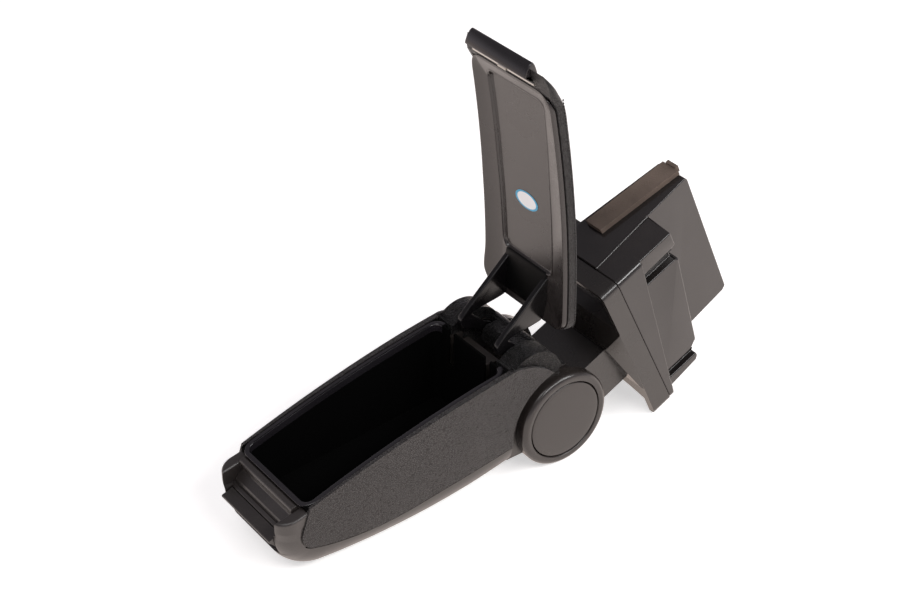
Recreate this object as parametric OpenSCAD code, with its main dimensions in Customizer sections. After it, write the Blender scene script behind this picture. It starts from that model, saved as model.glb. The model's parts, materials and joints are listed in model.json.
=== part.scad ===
// Car centre armrest with a storage box, laid on a table in its raised position with the lid open.
// Millimetres, +Z up, +Y towards the plug. Shapes are drawn about the hub axis and then set on the floor.

/* [Hub] */
// Radius of the disc caps, which rest on the floor
hub_r = 43.5; // [41:0.5:47]
// Depth of each disc cap
cap_depth = 11.5; // [9:0.5:14]
// Radius of the disc insert in each cap
insert_r = 34.8; // [30:0.2:36]
// Radius of the barrel on the neck
barrel_r = 36; // [33:0.5:38]
// Thickness of each ear of the yoke
ear_t = 10; // [7:0.5:12]
// Radius of each ear of the yoke
ear_r = 38; // [36:0.5:40]
// Radius of the pivot bolt's shank
bolt_r = 5; // [4:0.5:6]
// Radius on which the stop pin lies
stop_r = 25.5; // [24:0.5:27]
// Travel of the armrest from raised to lowered, in degrees
arm_travel = 102; // [80:1:104]

/* [Neck] */
// Half width of the neck
neck_half = 33; // [28:0.5:35]
// Height of the neck's top face above the hub axis, square to the neck
neck_top = 5; // [0:0.5:8]
// Depth of the neck's lower face below the hub axis, square to the neck
neck_drop = 41.5; // [38:0.5:42]
// Angle of the neck above the floor
base_tilt = 25.5; // [20:0.5:30]
// Length of the neck from the hub axis to its foot inside the plug
neck_reach = 112; // [104:1:116]

/* [Bezel] */
// Distance from the hub axis to the bezel's front edge
bezel_front = 77; // [75:0.5:82]
// Depth of the bezel
bezel_t = 17; // [14:0.5:20]
// Half width of the bezel
bezel_half = 52; // [50:0.5:54]
// Height of the bezel's top face above the hub axis, square to the neck
bezel_top = 78.5; // [76:0.5:84]
// Wall of the bezel round its recesses
bezel_wall = 4; // [3:0.5:6]
// How far the collar round the neck stands forward of the bezel
collar_lift = 11; // [6:0.5:13]

/* [Plug] */
// Distance from the hub axis to the end of the tongue
tongue_end = 206; // [194:1:215]
// Half width of the tongue where it leaves the flange
tongue_half = 25; // [22:0.5:26]
// Half width of the tongue at its end, on the +X side
tongue_tip_half = 19; // [16:0.5:22]
// Height of the tongue's top face, square to the neck
tongue_top = 80; // [78:0.5:84]
// Depth of the tongue's lower face, square to the neck
tongue_drop = 64; // [56:0.5:66]
// Half width of the plug body
plug_half = 47.5; // [44:0.5:49]
// Distance from the hub axis to the end of the plug body at its top
plug_end = 156; // [148:1:162]
// Wall thickness of the plug
plug_wall = 3; // [2.5:0.1:4]
// Width of the foam strip
foam_w = 19; // [12:0.5:22]
// Thickness of the foam strip
foam_t = 5; // [3:0.5:7]

/* [Box] */
// Distance from the hub axis to the front of the horns
front_reach = 271; // [268:1:274]
// Radius of the long arch of the rim and the lid
rim_r = 1120; // [1050:10:1200]
// Half width of the box over its side panels
box_half = 52.5; // [51:0.5:54]
// Half width of the storage tray inside its lip
tray_half = 43; // [40:0.5:44]
// Wall thickness of the outer shell
shell_wall = 2.6; // [2.2:0.1:3.2]
// Wall thickness of the storage tray
tray_wall = 2; // [1.6:0.1:2.4]
// Half of the clear width between the horns
horn_gap_half = 38; // [37:0.5:39]
// Clear radius behind the box round the barrel
clear_r = 46.5; // [44:0.5:48]
// Radius of the rear edge of the side panels round the caps
panel_arc_r = 53; // [51:0.5:55]

/* [Lid] */
// Opening angle of the lid in degrees
lid_open = 98.5; // [90:0.5:99]
// Radius of the lid's hinge pin
lid_pin_r = 2.5; // [2:0.25:3]
// Distance of each bracket arm's middle from the centre line
arm_x = 24; // [20:0.5:27]
// Thickness of each bracket arm
arm_t = 5; // [4:0.5:6]
// Half width of the padded lid
lid_half = 52.5; // [51:0.5:55]
// Padding height of the lid at its centre line
lid_rise = 19; // [16:0.5:22]
// Height of the padded lid at its side edges
lid_edge = 13; // [11:0.5:15]
// Radius of the lid's rounded nose in side view
nose_r = 40; // [30:1:44]

/* [Hidden] */

$fn = 64;
arc_fn = 1440;
fit = 0.4;
run = 0.05;

// The floor touches the caps, so the hub axis stands one cap radius above it
floor_z = -hub_r;
lip_reach = front_reach + 3.5;
rear_reach = (tongue_end - 4.5) * cos(base_tilt) + (tongue_drop - 2.5) * sin(base_tilt);
hub_y = (lip_reach - rear_reach) / 2;

// Lateral stack at the hub, from the middle outwards
ear_in = neck_half + fit;
ear_out = ear_in + ear_t;
cap_in = ear_out + fit;
cap_face = cap_in + cap_depth;

// Centre of the long arch, below the middle of the rim
rim_mid = [-145, 52.8];
rim_slope = 12.75;
rim_c = [rim_mid[0] + rim_r * sin(rim_slope), rim_mid[1] - rim_r * cos(rim_slope)];
function rim_z(y, lift = 0) = rim_c[1] + sqrt(pow(rim_r + lift, 2) - pow(y - rim_c[0], 2));

// Side view of the box
front_r = 40;
hull_r = 600;
hull_c = [-186, floor_z + hull_r];
front_off = hull_c[0] + front_reach - front_r;
front_c = [-front_reach + front_r, hull_c[1] - sqrt(pow(hull_r - front_r, 2) - pow(front_off, 2))];
bottom_rear = [-52, -28.5];
heel_c = [-55, 10];
heel_r = 60;
trim_rear = 4;
rear_wall_y = -57;
tray_front = -(front_reach - 24);
trim_front = -54;

// Side view of the lid hinge, with the lid drawn closed and then swung open
lid_axis = [-21.5, 57.5];
knuckle_r = 7;
lid_gap = 0.6;
lid_rear = -50;
panel_front = -262;
lid_nose = -284.5;
panel_t = 2.5;
panel_half = lid_half - 1.8;
board_t = 3;
cover_t = 1.4;
latch_c = [-270, rim_z(-270) - 2];
slot_half = arm_t / 2 + 1.2;

// Bezel corner on the floor, square to the neck
bezel_lean = 2.2;
bezel_drop = ((bezel_front - bezel_lean) * sin(base_tilt) - floor_z) / cos(base_tilt);
bezel_back = bezel_front + bezel_t;
flange_top_back = bezel_back + 28.5;

module on_floor() {
    translate([0, hub_y, -floor_z])
        children();
}

// Lays a side view, drawn in Y and Z, across the width
module across(w) {
    rotate([90, 0, 90])
        linear_extrude(w, center = true)
            children();
}

module slab(x0, x1) {
    translate([(x0 + x1) / 2, 0, 0])
        across(x1 - x0)
            children();
}

// Turned shapes stand on the hub axis, pointing to +X
module turned(x) {
    translate([x, 0, 0])
        rotate([0, 90, 0])
            children();
}

module both_sides() {
    children();
    mirror([1, 0, 0])
        children();
}

// Parts of the base are drawn with Y along the neck
module in_base() {
    on_floor()
        rotate([base_tilt, 0, 0])
            children();
}

// Parts of the lid are drawn closed, with their side view in Y and Z
module in_lid() {
    on_floor()
        translate([0, lid_axis[0], lid_axis[1]])
            rotate([-lid_open, 0, 0])
                translate([0, -lid_axis[0], -lid_axis[1]])
                    children();
}

module plan_corners(half, y0, y1, r) {
    union() {
        translate([-half, y0 + r])
            square([2 * half, y1 - y0 - 2 * r]);
        translate([-half + r, y0])
            square([2 * (half - r), y1 - y0]);
        for (x = [-half + r, half - r], y = [y0 + r, y1 - r])
            translate([x, y])
                circle(r = r);
    }
}

module box_plan(inset, y_front) {
    corner = 12;
    front_half = box_half - 3 - inset;
    polygon([[-box_half + inset, 20], [-box_half + inset, -90], [-front_half, y_front + corner],
        [-front_half + corner, y_front], [front_half - corner, y_front], [front_half, y_front + corner],
        [box_half - inset, -90], [box_half - inset, 20]]);
    for (s = [-1, 1])
        translate([s * (front_half - corner), y_front + corner])
            circle(r = corner);
}

module under_rim(drop) {
    translate(rim_c)
        circle(r = rim_r - drop, $fn = arc_fn);
}

module box_side(inset) {
    r = front_r - inset;
    front = -front_reach + inset;
    down = (front_c - hull_c) / norm(front_c - hull_c);
    difference() {
        intersection() {
            under_rim(0);
            translate(hull_c)
                circle(r = hull_r - inset, $fn = arc_fn);
            union() {
                polygon([[front, 90], [front, front_c[1]], front_c, front_c + (r + 20) * down,
                    [trim_rear + 60, floor_z - 30], [trim_rear + 60, 90]]);
                translate(front_c)
                    circle(r = r - 0.04);
            }
            union() {
                translate([-front_reach - 10, floor_z - 10])
                    square([front_reach + 10 + heel_c[0], 200]);
                translate(heel_c)
                    circle(r = heel_r);
            }
        }
        circle(r = panel_arc_r);
        translate([bottom_rear[0] + 6, floor_z - 5])
            square([80, -floor_z + 13]);
    }
}

// Outline of one side panel in side view: its seam sags along an arc and then runs straight to the rear
panel_corner_r = 13;
panel_c = [-240.5, -1.5];
seam_r = 230;
seam_start = 75;
seam_angle = 8.5;
front_lean = 18.7;
module panel_side(grow) {
    r = panel_corner_r + grow;
    seam_c = panel_c + (seam_r - panel_corner_r) * [cos(seam_start), sin(seam_start)];
    sag = seam_c + (seam_r + grow) * [sin(seam_angle), -cos(seam_angle)];
    high = panel_c + (r + 0.04) * [-cos(front_lean), sin(front_lean)];
    difference() {
        intersection() {
            union() {
                intersection() {
                    translate(seam_c)
                        circle(r = seam_r + grow, $fn = arc_fn);
                    polygon([panel_c, panel_c - (r + 20) * [cos(seam_start), sin(seam_start)],
                        [sag[0], sag[1] - 40], [sag[0], 90],
                        high + 90 * [sin(front_lean), cos(front_lean)], high]);
                }
                polygon([sag - [0, 0.03], sag + 240 * [cos(seam_angle), sin(seam_angle)], [20, 90],
                    [sag[0], 90]]);
                translate(panel_c)
                    circle(r = r - 0.04);
            }
            box_side(0);
        }
        circle(r = panel_arc_r);
    }
}

// Cross-section of the box, with rounded lower edges that follow the arc of its underside
chine_r = 22;
module box_section(inset) {
    r = chine_r - inset;
    half = box_half + 0.6 - inset;
    translate([0, hull_c[0], hull_c[1]])
        rotate([-90, 0, 0])
            rotate([0, 90, 0])
                rotate_extrude(angle = 180, $fn = 720)
                    union() {
                        translate([hull_r - 200, -half])
                            square([200 - chine_r, 2 * half]);
                        translate([hull_r - 60, -half + r])
                            square([60 - inset, 2 * (half - r)]);
                        for (s = [-1, 1])
                            translate([hull_r - chine_r, s * (half - r)])
                                circle(r = r, $fn = 96);
                    }
}

module upright(h) {
    translate([0, 0, floor_z - 1])
        linear_extrude(h)
            children();
}

horn_top = 19;
panel_edge_y = panel_c[0] - 10;
module outer_shell() {
    inner_half = box_half - 2.5 - shell_wall;
    color("#232325")
        on_floor()
            difference() {
                intersection() {
                    across(2 * box_half + 2)
                        box_side(0);
                    upright(200)
                        box_plan(0.8, -front_reach);
                    box_section(0.8);
                }
                intersection() {
                    across(2 * inner_half)
                        difference() {
                            translate([0, shell_wall])
                                box_side(0);
                            translate([-front_reach - 1, -200])
                                square([front_reach + tray_front - shell_wall + 1, 400]);
                        }
                    box_section(0.8 + shell_wall);
                }
                slab(-inner_half, inner_half)
                    translate([tray_front, 0])
                        square([front_reach, 200]);
                difference() {
                    across(2 * box_half + 4)
                        panel_side(fit);
                    upright(200)
                        box_plan(2.5 + fit, -front_reach);
                }
                both_sides()
                    slab(tray_half + tray_wall + 2.5 - fit, box_half + 5)
                        difference() {
                            panel_side(fit);
                            under_rim(3 + fit);
                        }
                slab(-box_half, box_half)
                    translate([trim_front - fit, 38])
                        square([80, 60]);
                slab(-horn_gap_half - fit, horn_gap_half + fit)
                    translate([-front_reach - 10, 2])
                        square([front_reach + tray_front + 10 + 20, 100]);
                slab(-horn_gap_half + 3 - fit, horn_gap_half - 3 + fit)
                    translate([-front_reach - 10, -20])
                        square([front_reach + tray_front + 10 + 8, 40]);
                across(2 * box_half + 2)
                    polygon([[panel_edge_y, horn_top + 0.8], [-front_reach - 2, horn_top - 4],
                        [-front_reach - 2, 90], [panel_edge_y, 90]]);
                slab(-ear_out - fit, ear_out + fit)
                    polygon([[bottom_rear[0] - 1, -80], [bottom_rear[0] - 1, 90], [60, 90], [60, -80]]);
            }
}

module side_panel() {
    intersection() {
        difference() {
            slab(30, box_half + 2)
                panel_side(0);
            difference() {
                upright(200)
                    box_plan(2.5, -front_reach);
                difference() {
                    slab(tray_half + tray_wall + 2.5, box_half)
                        translate([-front_reach, -50])
                            square([front_reach + trim_front - fit, 200]);
                    across(4 * box_half)
                        under_rim(3);
                }
            }
        }
        upright(200)
            box_plan(0, -front_reach);
    }
}

module right_side_panel() {
    color("#1f1e1e")
        on_floor()
            side_panel();
}

module left_side_panel() {
    color("#1f1e1e")
        on_floor()
            mirror([1, 0, 0])
                side_panel();
}

// Tray with a lip that carries the glossy inner rim
tray_floor_front = [tray_front, -24];
tray_floor_rear = [rear_wall_y, -9];
module tray_side(inset) {
    polygon([[tray_front + inset, 120], tray_floor_front + [inset, inset],
        tray_floor_rear + [-inset, inset], [rear_wall_y - inset, 120]]);
}

module storage_tray() {
    slot_floor = 34;
    color("#1b1b1c")
        on_floor()
            difference() {
                union() {
                    intersection() {
                        across(2 * (tray_half + tray_wall))
                            intersection() {
                                tray_side(0);
                                under_rim(0.6);
                            }
                        translate([0, 0, -100])
                            linear_extrude(300)
                                plan_corners(tray_half + tray_wall, tray_front, rear_wall_y, 8);
                    }
                    across(2 * (tray_half + tray_wall + 2.1))
                        difference() {
                            intersection() {
                                under_rim(0.6);
                                translate([tray_front, -50])
                                    square([rear_wall_y - tray_front, 200]);
                            }
                            under_rim(2.6);
                        }
                }
                intersection() {
                    across(2 * tray_half)
                        tray_side(tray_wall);
                    translate([0, 0, -100])
                        linear_extrude(300)
                            plan_corners(tray_half, tray_front + tray_wall, rear_wall_y - tray_wall, 6);
                }
                for (s = [-1, 1])
                    slab(s * arm_x - slot_half, s * arm_x + slot_half)
                        translate([rear_wall_y - 10, slot_floor])
                            square([20, 60]);
            }
}

// Bridge between the horns: rounded catch bar, sloping recess and a ridge
bar_r = 3.5;
bar_y = tray_front - 1.2 - bar_r;
bar_c = [bar_y, rim_z(bar_y) - bar_r - 0.7];
module front_bridge() {
    foot = [-front_reach + 8, 2];
    color("#2a2a2c")
        on_floor() difference() {
            across(2 * horn_gap_half - 1) {
                translate(bar_c)
                    circle(r = bar_r);
                polygon([bar_c + [bar_r - 0.7, 0.9], bar_c + [-0.5, 0.9], bar_c + [-1.5, -7.5],
                    foot + [4, 3.5], foot + [3, 0.6], foot + [1.5, 1.2], foot + [0, 0], foot + [-1, -1],
                    foot + [1, -18], bar_c + [bar_r - 0.7, -34]]);
            }
            both_sides()
                slab(horn_gap_half - 3, horn_gap_half + 5)
                    translate([-front_reach, -40])
                        square([40, 42 + fit]);
        }
}

// Plate below the bridge that fingers meet first
module lower_lip() {
    lip_top = [-front_reach + 6.5, 0.4];
    color("#2b2b2d")
        on_floor()
            slab(-horn_gap_half + 3.2, horn_gap_half - 3.2) {
                polygon([lip_top, [-lip_reach + 1.6, -2.4], [-lip_reach + 1.6, -5.6],
                    [-front_reach + 6.5, -15]]);
                translate([-lip_reach + 1.6, -4])
                    circle(r = 1.6);
            }
}

// Yoke behind the tray: ears at the hub, cross wall and the bosses of the lid hinge
slot_a = -4.5;
yoke_low = bottom_rear[1] + shell_wall + 1.4;
inner_chine = chine_r - 0.8 - shell_wall;
chine_from = box_half - 0.2 - shell_wall - inner_chine;
chine_rise = inner_chine - sqrt(pow(inner_chine, 2) - pow(min(ear_out - chine_from, inner_chine), 2));
module ear_plate() {
    difference() {
        union() {
            circle(r = ear_r, $fn = 96);
            intersection() {
                polygon([[rear_wall_y + 1, 62], [rear_wall_y + 1, yoke_low], [-20, yoke_low], [0, 0],
                    [lid_axis[0] + 22, 50], [lid_axis[0] - 8, 66]]);
                under_rim(6);
            }
        }
        circle(r = bolt_r + run);
        stop_slot();
    }
}

module stop_slot() {
    w = 3 + 0.6;
    difference() {
        circle(r = stop_r + w, $fn = 96);
        circle(r = stop_r - w, $fn = 96);
        polygon([[0, 0], 90 * [cos(slot_a), sin(slot_a)], 90 * [cos(slot_a + 45), sin(slot_a + 45)],
            90 * [cos(slot_a + 110), sin(slot_a + 110)], 90 * [cos(slot_a + 180), sin(slot_a + 180)],
            90 * [cos(slot_a - arm_travel), sin(slot_a - arm_travel)]]);
    }
    for (a = [slot_a, slot_a - arm_travel])
        translate(stop_r * [cos(a), sin(a)])
            circle(r = w - 0.04);
}

boss_angles = [35, 120, 205];
boss_ring = 31;
module hinge_yoke() {
    color("#202022")
        on_floor()
            difference() {
                union() {
                    both_sides()
                        slab(ear_in, ear_out)
                            ear_plate();
                    slab(-ear_out, ear_out)
                        difference() {
                            polygon([[rear_wall_y + 0.6, 60], [rear_wall_y + 0.6, yoke_low],
                                [bottom_rear[0] + 8, yoke_low], [bottom_rear[0] + 8, 60]]);
                            circle(r = clear_r, $fn = 96);
                        }
                    both_sides()
                        slab(arm_x + slot_half, ear_out)
                            translate(lid_axis)
                                circle(r = knuckle_r - 0.6);
                }
                slab(-ear_out - 1, ear_out + 1)
                    translate(lid_axis)
                        circle(r = lid_pin_r + run);
                for (s = [-1, 1])
                    slab(s * arm_x - slot_half, s * arm_x + slot_half)
                        translate([rear_wall_y - 1, 28])
                            square([62, 70]);
                both_sides()
                    slab(chine_from + 4, ear_out + 1)
                        translate([rear_wall_y - 1, yoke_low - 2])
                            square([bottom_rear[0] - rear_wall_y + 0.6, chine_rise * 1.03 + 2]);
                for (a = boss_angles)
                    both_sides()
                        turned(ear_out - 5)
                            rotate([0, 0, 90])
                                translate(boss_ring * [cos(a), sin(a)])
                                    cylinder(h = 6, r = 2.3);
            }
}

// Leatherette rear trim: two shoulders and the cross bar between them
module shoulder_side() {
    difference() {
        intersection() {
            union() {
                translate([lid_axis[0] - 9.5, 48])
                    circle(r = 28.5);
                polygon([[trim_front, 38.5], [trim_front, rim_z(trim_front) - 0.4], [lid_axis[0], 60],
                    [trim_rear, 52], [trim_rear, 38.5]]);
            }
            translate([trim_front, 38.5])
                square([trim_rear - trim_front, 60]);
            union() {
                translate(lid_axis)
                    circle(r = 30.2);
                translate([lid_axis[0], 30])
                    square([40, 60]);
                translate([trim_front, 30])
                    square([40, rim_z(trim_front) - 30.4]);
            }
        }
        circle(r = panel_arc_r - 0.5, $fn = 96);
    }
}

module rear_trim() {
    bar_top = 64;
    bar_front = lid_axis[0] - 8;
    bar_round = 6;
    color("#262524")
        on_floor()
            difference() {
                union() {
                    both_sides()
                        slab(30, box_half - 2.5 - fit)
                            shoulder_side();
                    slab(-31, 31) {
                        translate([bar_front, 49.5])
                            square([24, bar_top - bar_round - 49.5]);
                        translate([bar_front + bar_round, 49.5])
                            square([24 - 2 * bar_round, bar_top - 49.5]);
                        for (y = [bar_front + bar_round, bar_front + 24 - bar_round])
                            translate([y, bar_top - bar_round])
                                circle(r = bar_round);
                    }
                }
                for (s = [-1, 1])
                    slab(s * arm_x - slot_half, s * arm_x + slot_half)
                        translate([trim_front - 1, 30])
                            square([lid_axis[0] + knuckle_r + 0.8 - trim_front + 1, 60]);
                both_sides()
                    slab(arm_x, ear_out + fit)
                        translate(lid_axis)
                            circle(r = knuckle_r - 0.6 + fit);
                slab(-arm_x, arm_x)
                    translate(lid_axis)
                        circle(r = lid_pin_r + run);
                both_sides()
                    slab(ear_in - fit, ear_out + fit)
                        ear_plate_clear();
                slab(-ear_out - fit, ear_out + fit)
                    translate([rear_wall_y, 30])
                        square([bottom_rear[0] + 8 + fit - rear_wall_y, 30 + fit]);
            }
}

module ear_plate_clear() {
    union() {
        circle(r = ear_r + fit, $fn = 96);
        intersection() {
            polygon([[rear_wall_y, 63], [rear_wall_y, bottom_rear[1]], [-20, bottom_rear[1]], [1, 0],
                [lid_axis[0] + 23, 50.6], [lid_axis[0] - 7.6, 66.8]]);
            under_rim(6 - fit);
        }
    }
}

module lid_hinge_pin() {
    color("silver")
        on_floor()
            slab(-ear_out + 1, ear_out - 1)
                translate(lid_axis)
                    circle(r = lid_pin_r);
}

// Disc cap: ring with a rounded front edge, a web, and snap bosses that seat in the ear
module cap() {
    round_r = 3;
    difference() {
        turned(cap_in)
            union() {
                rotate_extrude($fn = 128) {
                    translate([hub_r - round_r, 0])
                        square([round_r, cap_depth - round_r]);
                    translate([hub_r - round_r, cap_depth - round_r])
                        circle(r = round_r, $fn = 48);
                    translate([insert_r + 0.5, cap_depth - 5])
                        square([hub_r - round_r - insert_r - 0.5, 5]);
                    translate([8, cap_depth - 5])
                        square([insert_r - 4, 2]);
                }
                for (a = boss_angles)
                    rotate([0, 0, 90])
                        translate(boss_ring * [cos(a), sin(a)])
                            translate([0, 0, -4])
                                cylinder(h = cap_depth, r = 2.2);
            }
        slab(cap_in - 6, cap_face - 8)
            circle(r = 9, $fn = 48);
    }
}

module right_cap() {
    color("#2b2b2c")
        on_floor()
            cap();
}

module left_cap() {
    color("#2b2b2c")
        on_floor()
            mirror([1, 0, 0])
                cap();
}

module cap_disc() {
    edge_r = 0.8;
    turned(cap_face - 3)
        rotate_extrude($fn = 128) {
            square([insert_r - edge_r, 2.7]);
            square([insert_r, 2.7 - edge_r]);
            translate([insert_r - edge_r, 2.7 - edge_r])
                circle(r = edge_r, $fn = 32);
        }
}

module right_cap_disc() {
    color("#2d2d2e")
        on_floor()
            cap_disc();
}

module left_cap_disc() {
    color("#2d2d2e")
        on_floor()
            mirror([1, 0, 0])
                cap_disc();
}

module pivot_bolt() {
    color("silver")
        on_floor() {
            turned(-cap_in)
                cylinder(h = 2 * cap_in + 4.6, r = bolt_r);
            turned(cap_in)
                cylinder(h = 4.6, r = 8, $fn = 6);
        }
}

module pivot_nut() {
    color("silver")
        on_floor()
            turned(-cap_in - 4.6)
                difference() {
                    cylinder(h = 4.6, r = 8, $fn = 6);
                    translate([0, 0, -1])
                        cylinder(h = 7, r = bolt_r + run);
                }
}

// Neck: barrel on the hub axis and a beam down into the plug
module neck_side() {
    circle(r = barrel_r, $fn = 96);
    polygon([[0, neck_top], [-2, 0], barrel_r * [cos(235), sin(235)], [-8, -neck_drop + 2],
        [-3, -neck_drop], [neck_reach, -neck_drop], [neck_reach, neck_top]]);
}

bush_r = 8;
washer_r = 15;
module neck() {
    color("#2c2c2d")
        in_base()
            difference() {
                slab(-neck_half, neck_half)
                    neck_side();
                turned(-neck_half - 1)
                    cylinder(h = 2 * neck_half + 2, r = bush_r + run);
                both_sides()
                    turned(neck_half - 2)
                        cylinder(h = 4, r = washer_r + fit);
                slab(-neck_half - 1, neck_half + 1)
                    translate(stop_r * [cos(slot_a - base_tilt), sin(slot_a - base_tilt)])
                        circle(r = 3 + run);
                both_sides()
                    translate([neck_half * 0.5, neck_reach - 16, (neck_top - neck_drop) / 2])
                        rotate([-90, 0, 0])
                            cylinder(h = 20, r = 2);
            }
}

module pivot_bushes() {
    color("ivory")
        on_floor()
            both_sides()
                turned(6)
                    difference() {
                        cylinder(h = neck_half - 2.2 - 6, r = bush_r);
                        translate([0, 0, -1])
                            cylinder(h = neck_half, r = bolt_r + run);
                    }
}

module friction_discs() {
    color("gray")
        on_floor()
            both_sides()
                turned(neck_half - 1.9)
                    difference() {
                        cylinder(h = 2.1, r = washer_r);
                        translate([0, 0, -1])
                            cylinder(h = 5, r = bolt_r + run);
                    }
}

module stop_pin() {
    color("silver")
        in_base()
            slab(-ear_out + 1, ear_out - 1)
                translate(stop_r * [cos(slot_a - base_tilt), sin(slot_a - base_tilt)])
                    circle(r = 3);
}

// Bezel: frame with an upper and a lower recess and a collar round the neck
module bezel_plan(half, z0, z1, r) {
    translate([0, bezel_front + 100, 0])
        rotate([90, 0, 0])
            linear_extrude(200)
                plan_corners(half, z0, z1, r);
}

module bezel() {
    recess = bezel_t - 5;
    arch_r = 26;
    color("#2b2b2c")
        in_base()
            difference() {
                union() {
                    intersection() {
                        slab(-bezel_half, bezel_half)
                            polygon([[bezel_front, bezel_top], [bezel_front, 0],
                                [bezel_front - bezel_lean, -bezel_drop], [bezel_back, -bezel_drop],
                                [bezel_back, bezel_top]]);
                        bezel_plan(bezel_half, -bezel_drop, bezel_top, 6);
                    }
                    intersection() {
                        slab(-bezel_half, bezel_half)
                            polygon([[bezel_front + 1, neck_top + 26],
                                [bezel_front - collar_lift, neck_top + 4],
                                [bezel_front - 2.5, -neck_drop - 4], [bezel_front + 1, -neck_drop - 10]]);
                        linear_extrude(400, center = true)
                            polygon([[-bezel_half, bezel_front + 3], [-bezel_half, bezel_front - 0.5],
                                [-neck_half - 4, bezel_front - collar_lift],
                                [neck_half + 4, bezel_front - collar_lift], [bezel_half, bezel_front - 0.5],
                                [bezel_half, bezel_front + 3]]);
                    }
                }
                difference() {
                    intersection() {
                        slab(-bezel_half + bezel_wall, bezel_half - bezel_wall)
                            translate([bezel_front - 20, neck_top + 16])
                                square([20 + recess, bezel_top - bezel_wall - neck_top - 16]);
                        bezel_plan(bezel_half - bezel_wall, neck_top + 10, bezel_top - bezel_wall, 5);
                    }
                    slab(-bezel_half, bezel_half)
                        polygon([[bezel_front - 30, neck_top - 60],
                            [bezel_front - collar_lift, neck_top + 4], [bezel_front + 1, neck_top + 26],
                            [bezel_front + recess, neck_top + 30],
                            [bezel_front + recess, neck_top - 60]]);
                }
                intersection() {
                    slab(-bezel_half + 8, bezel_half - 8)
                        translate([bezel_front - 20, -bezel_drop - 5])
                            square([20 + recess, bezel_drop + 5 - neck_drop - 12]);
                    translate([0, bezel_front + 40, -bezel_drop - 1])
                        rotate([90, 0, 0])
                            linear_extrude(100)
                                union() {
                                    square([2 * (bezel_half - 8), 2], center = true);
                                    intersection() {
                                        translate([-bezel_half + 8, 0])
                                            square([2 * bezel_half - 16, 40]);
                                        translate([0, -4 * arch_r])
                                            circle(r = 5 * arch_r, $fn = 256);
                                    }
                                }
                }
                slab(-neck_half - fit, neck_half + fit)
                    translate([bezel_front - 40, -neck_drop - fit])
                        square([100, neck_top + neck_drop + 2 * fit]);
                for (s = [-1, 1], z = [bezel_top - 14, -bezel_drop + 26])
                    translate([s * (bezel_half - 12), bezel_back - 4, z])
                        rotate([-90, 0, 0])
                            cylinder(h = 10, r = 1.9);
            }
}

// Plug behind the bezel: wedge flange, body with slots, side block, foot and tongue
plug_low = 51;
plug_high = 45;
slot_depth = 7;
module flange_side() {
    polygon([[bezel_back + fit, -bezel_drop + 0.6], [bezel_back + fit, bezel_top - 0.6],
        [flange_top_back, bezel_top - 0.6], [bezel_back + 5.5, -bezel_drop + 0.6]]);
}

module plug_side(inset) {
    start = bezel_back + fit + inset;
    polygon([[start, -plug_low - 6 + inset], [start, plug_high - inset],
        [plug_end - inset, plug_high - inset], [plug_end - 15 - inset, -plug_low + inset],
        [plug_end - 23 - inset, -plug_low - 6 + inset]]);
}

module tongue_side(inset) {
    start = bezel_back + fit + inset;
    polygon([[start, -tongue_drop + inset], [start, tongue_top - inset],
        [tongue_end - 2 - inset, tongue_top - inset], [tongue_end - inset, tongue_top - 4 - inset],
        [tongue_end - 4.5 - inset, -tongue_drop + 2.5 + inset],
        [tongue_end - 9 - inset, -tongue_drop + inset]]);
}

module tongue_plan(inset) {
    polygon([[-tongue_half - 3 + inset, bezel_back - 1], [tongue_half - inset, bezel_back - 1],
        [tongue_tip_half - inset, tongue_end + 1], [-tongue_tip_half + 9 + inset, tongue_end + 1],
        [-tongue_tip_half + 5.5 + inset, tongue_end - 3]]);
}

// Side block, flush with the tongue's top and falling gently to the side
block_end = plug_end + 2;
bead_r = 3.4;
module side_block() {
    intersection() {
        slab(0, plug_half)
            polygon([[bezel_back + fit, plug_high - 1], [bezel_back + fit, tongue_top + 2],
                [block_end, tongue_top + 2], [block_end, 60], [block_end - 4, 57],
                [block_end - 5, plug_high - 1]]);
        translate([0, block_end + 5, 0])
            rotate([90, 0, 0])
                linear_extrude(120)
                    polygon([[tongue_tip_half - 4, plug_high - 1], [tongue_tip_half - 4, tongue_top - 0.3],
                        [tongue_tip_half + 3, tongue_top - 0.3], [plug_half, tongue_top - 5],
                        [plug_half, plug_high - 1]]);
    }
}

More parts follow.
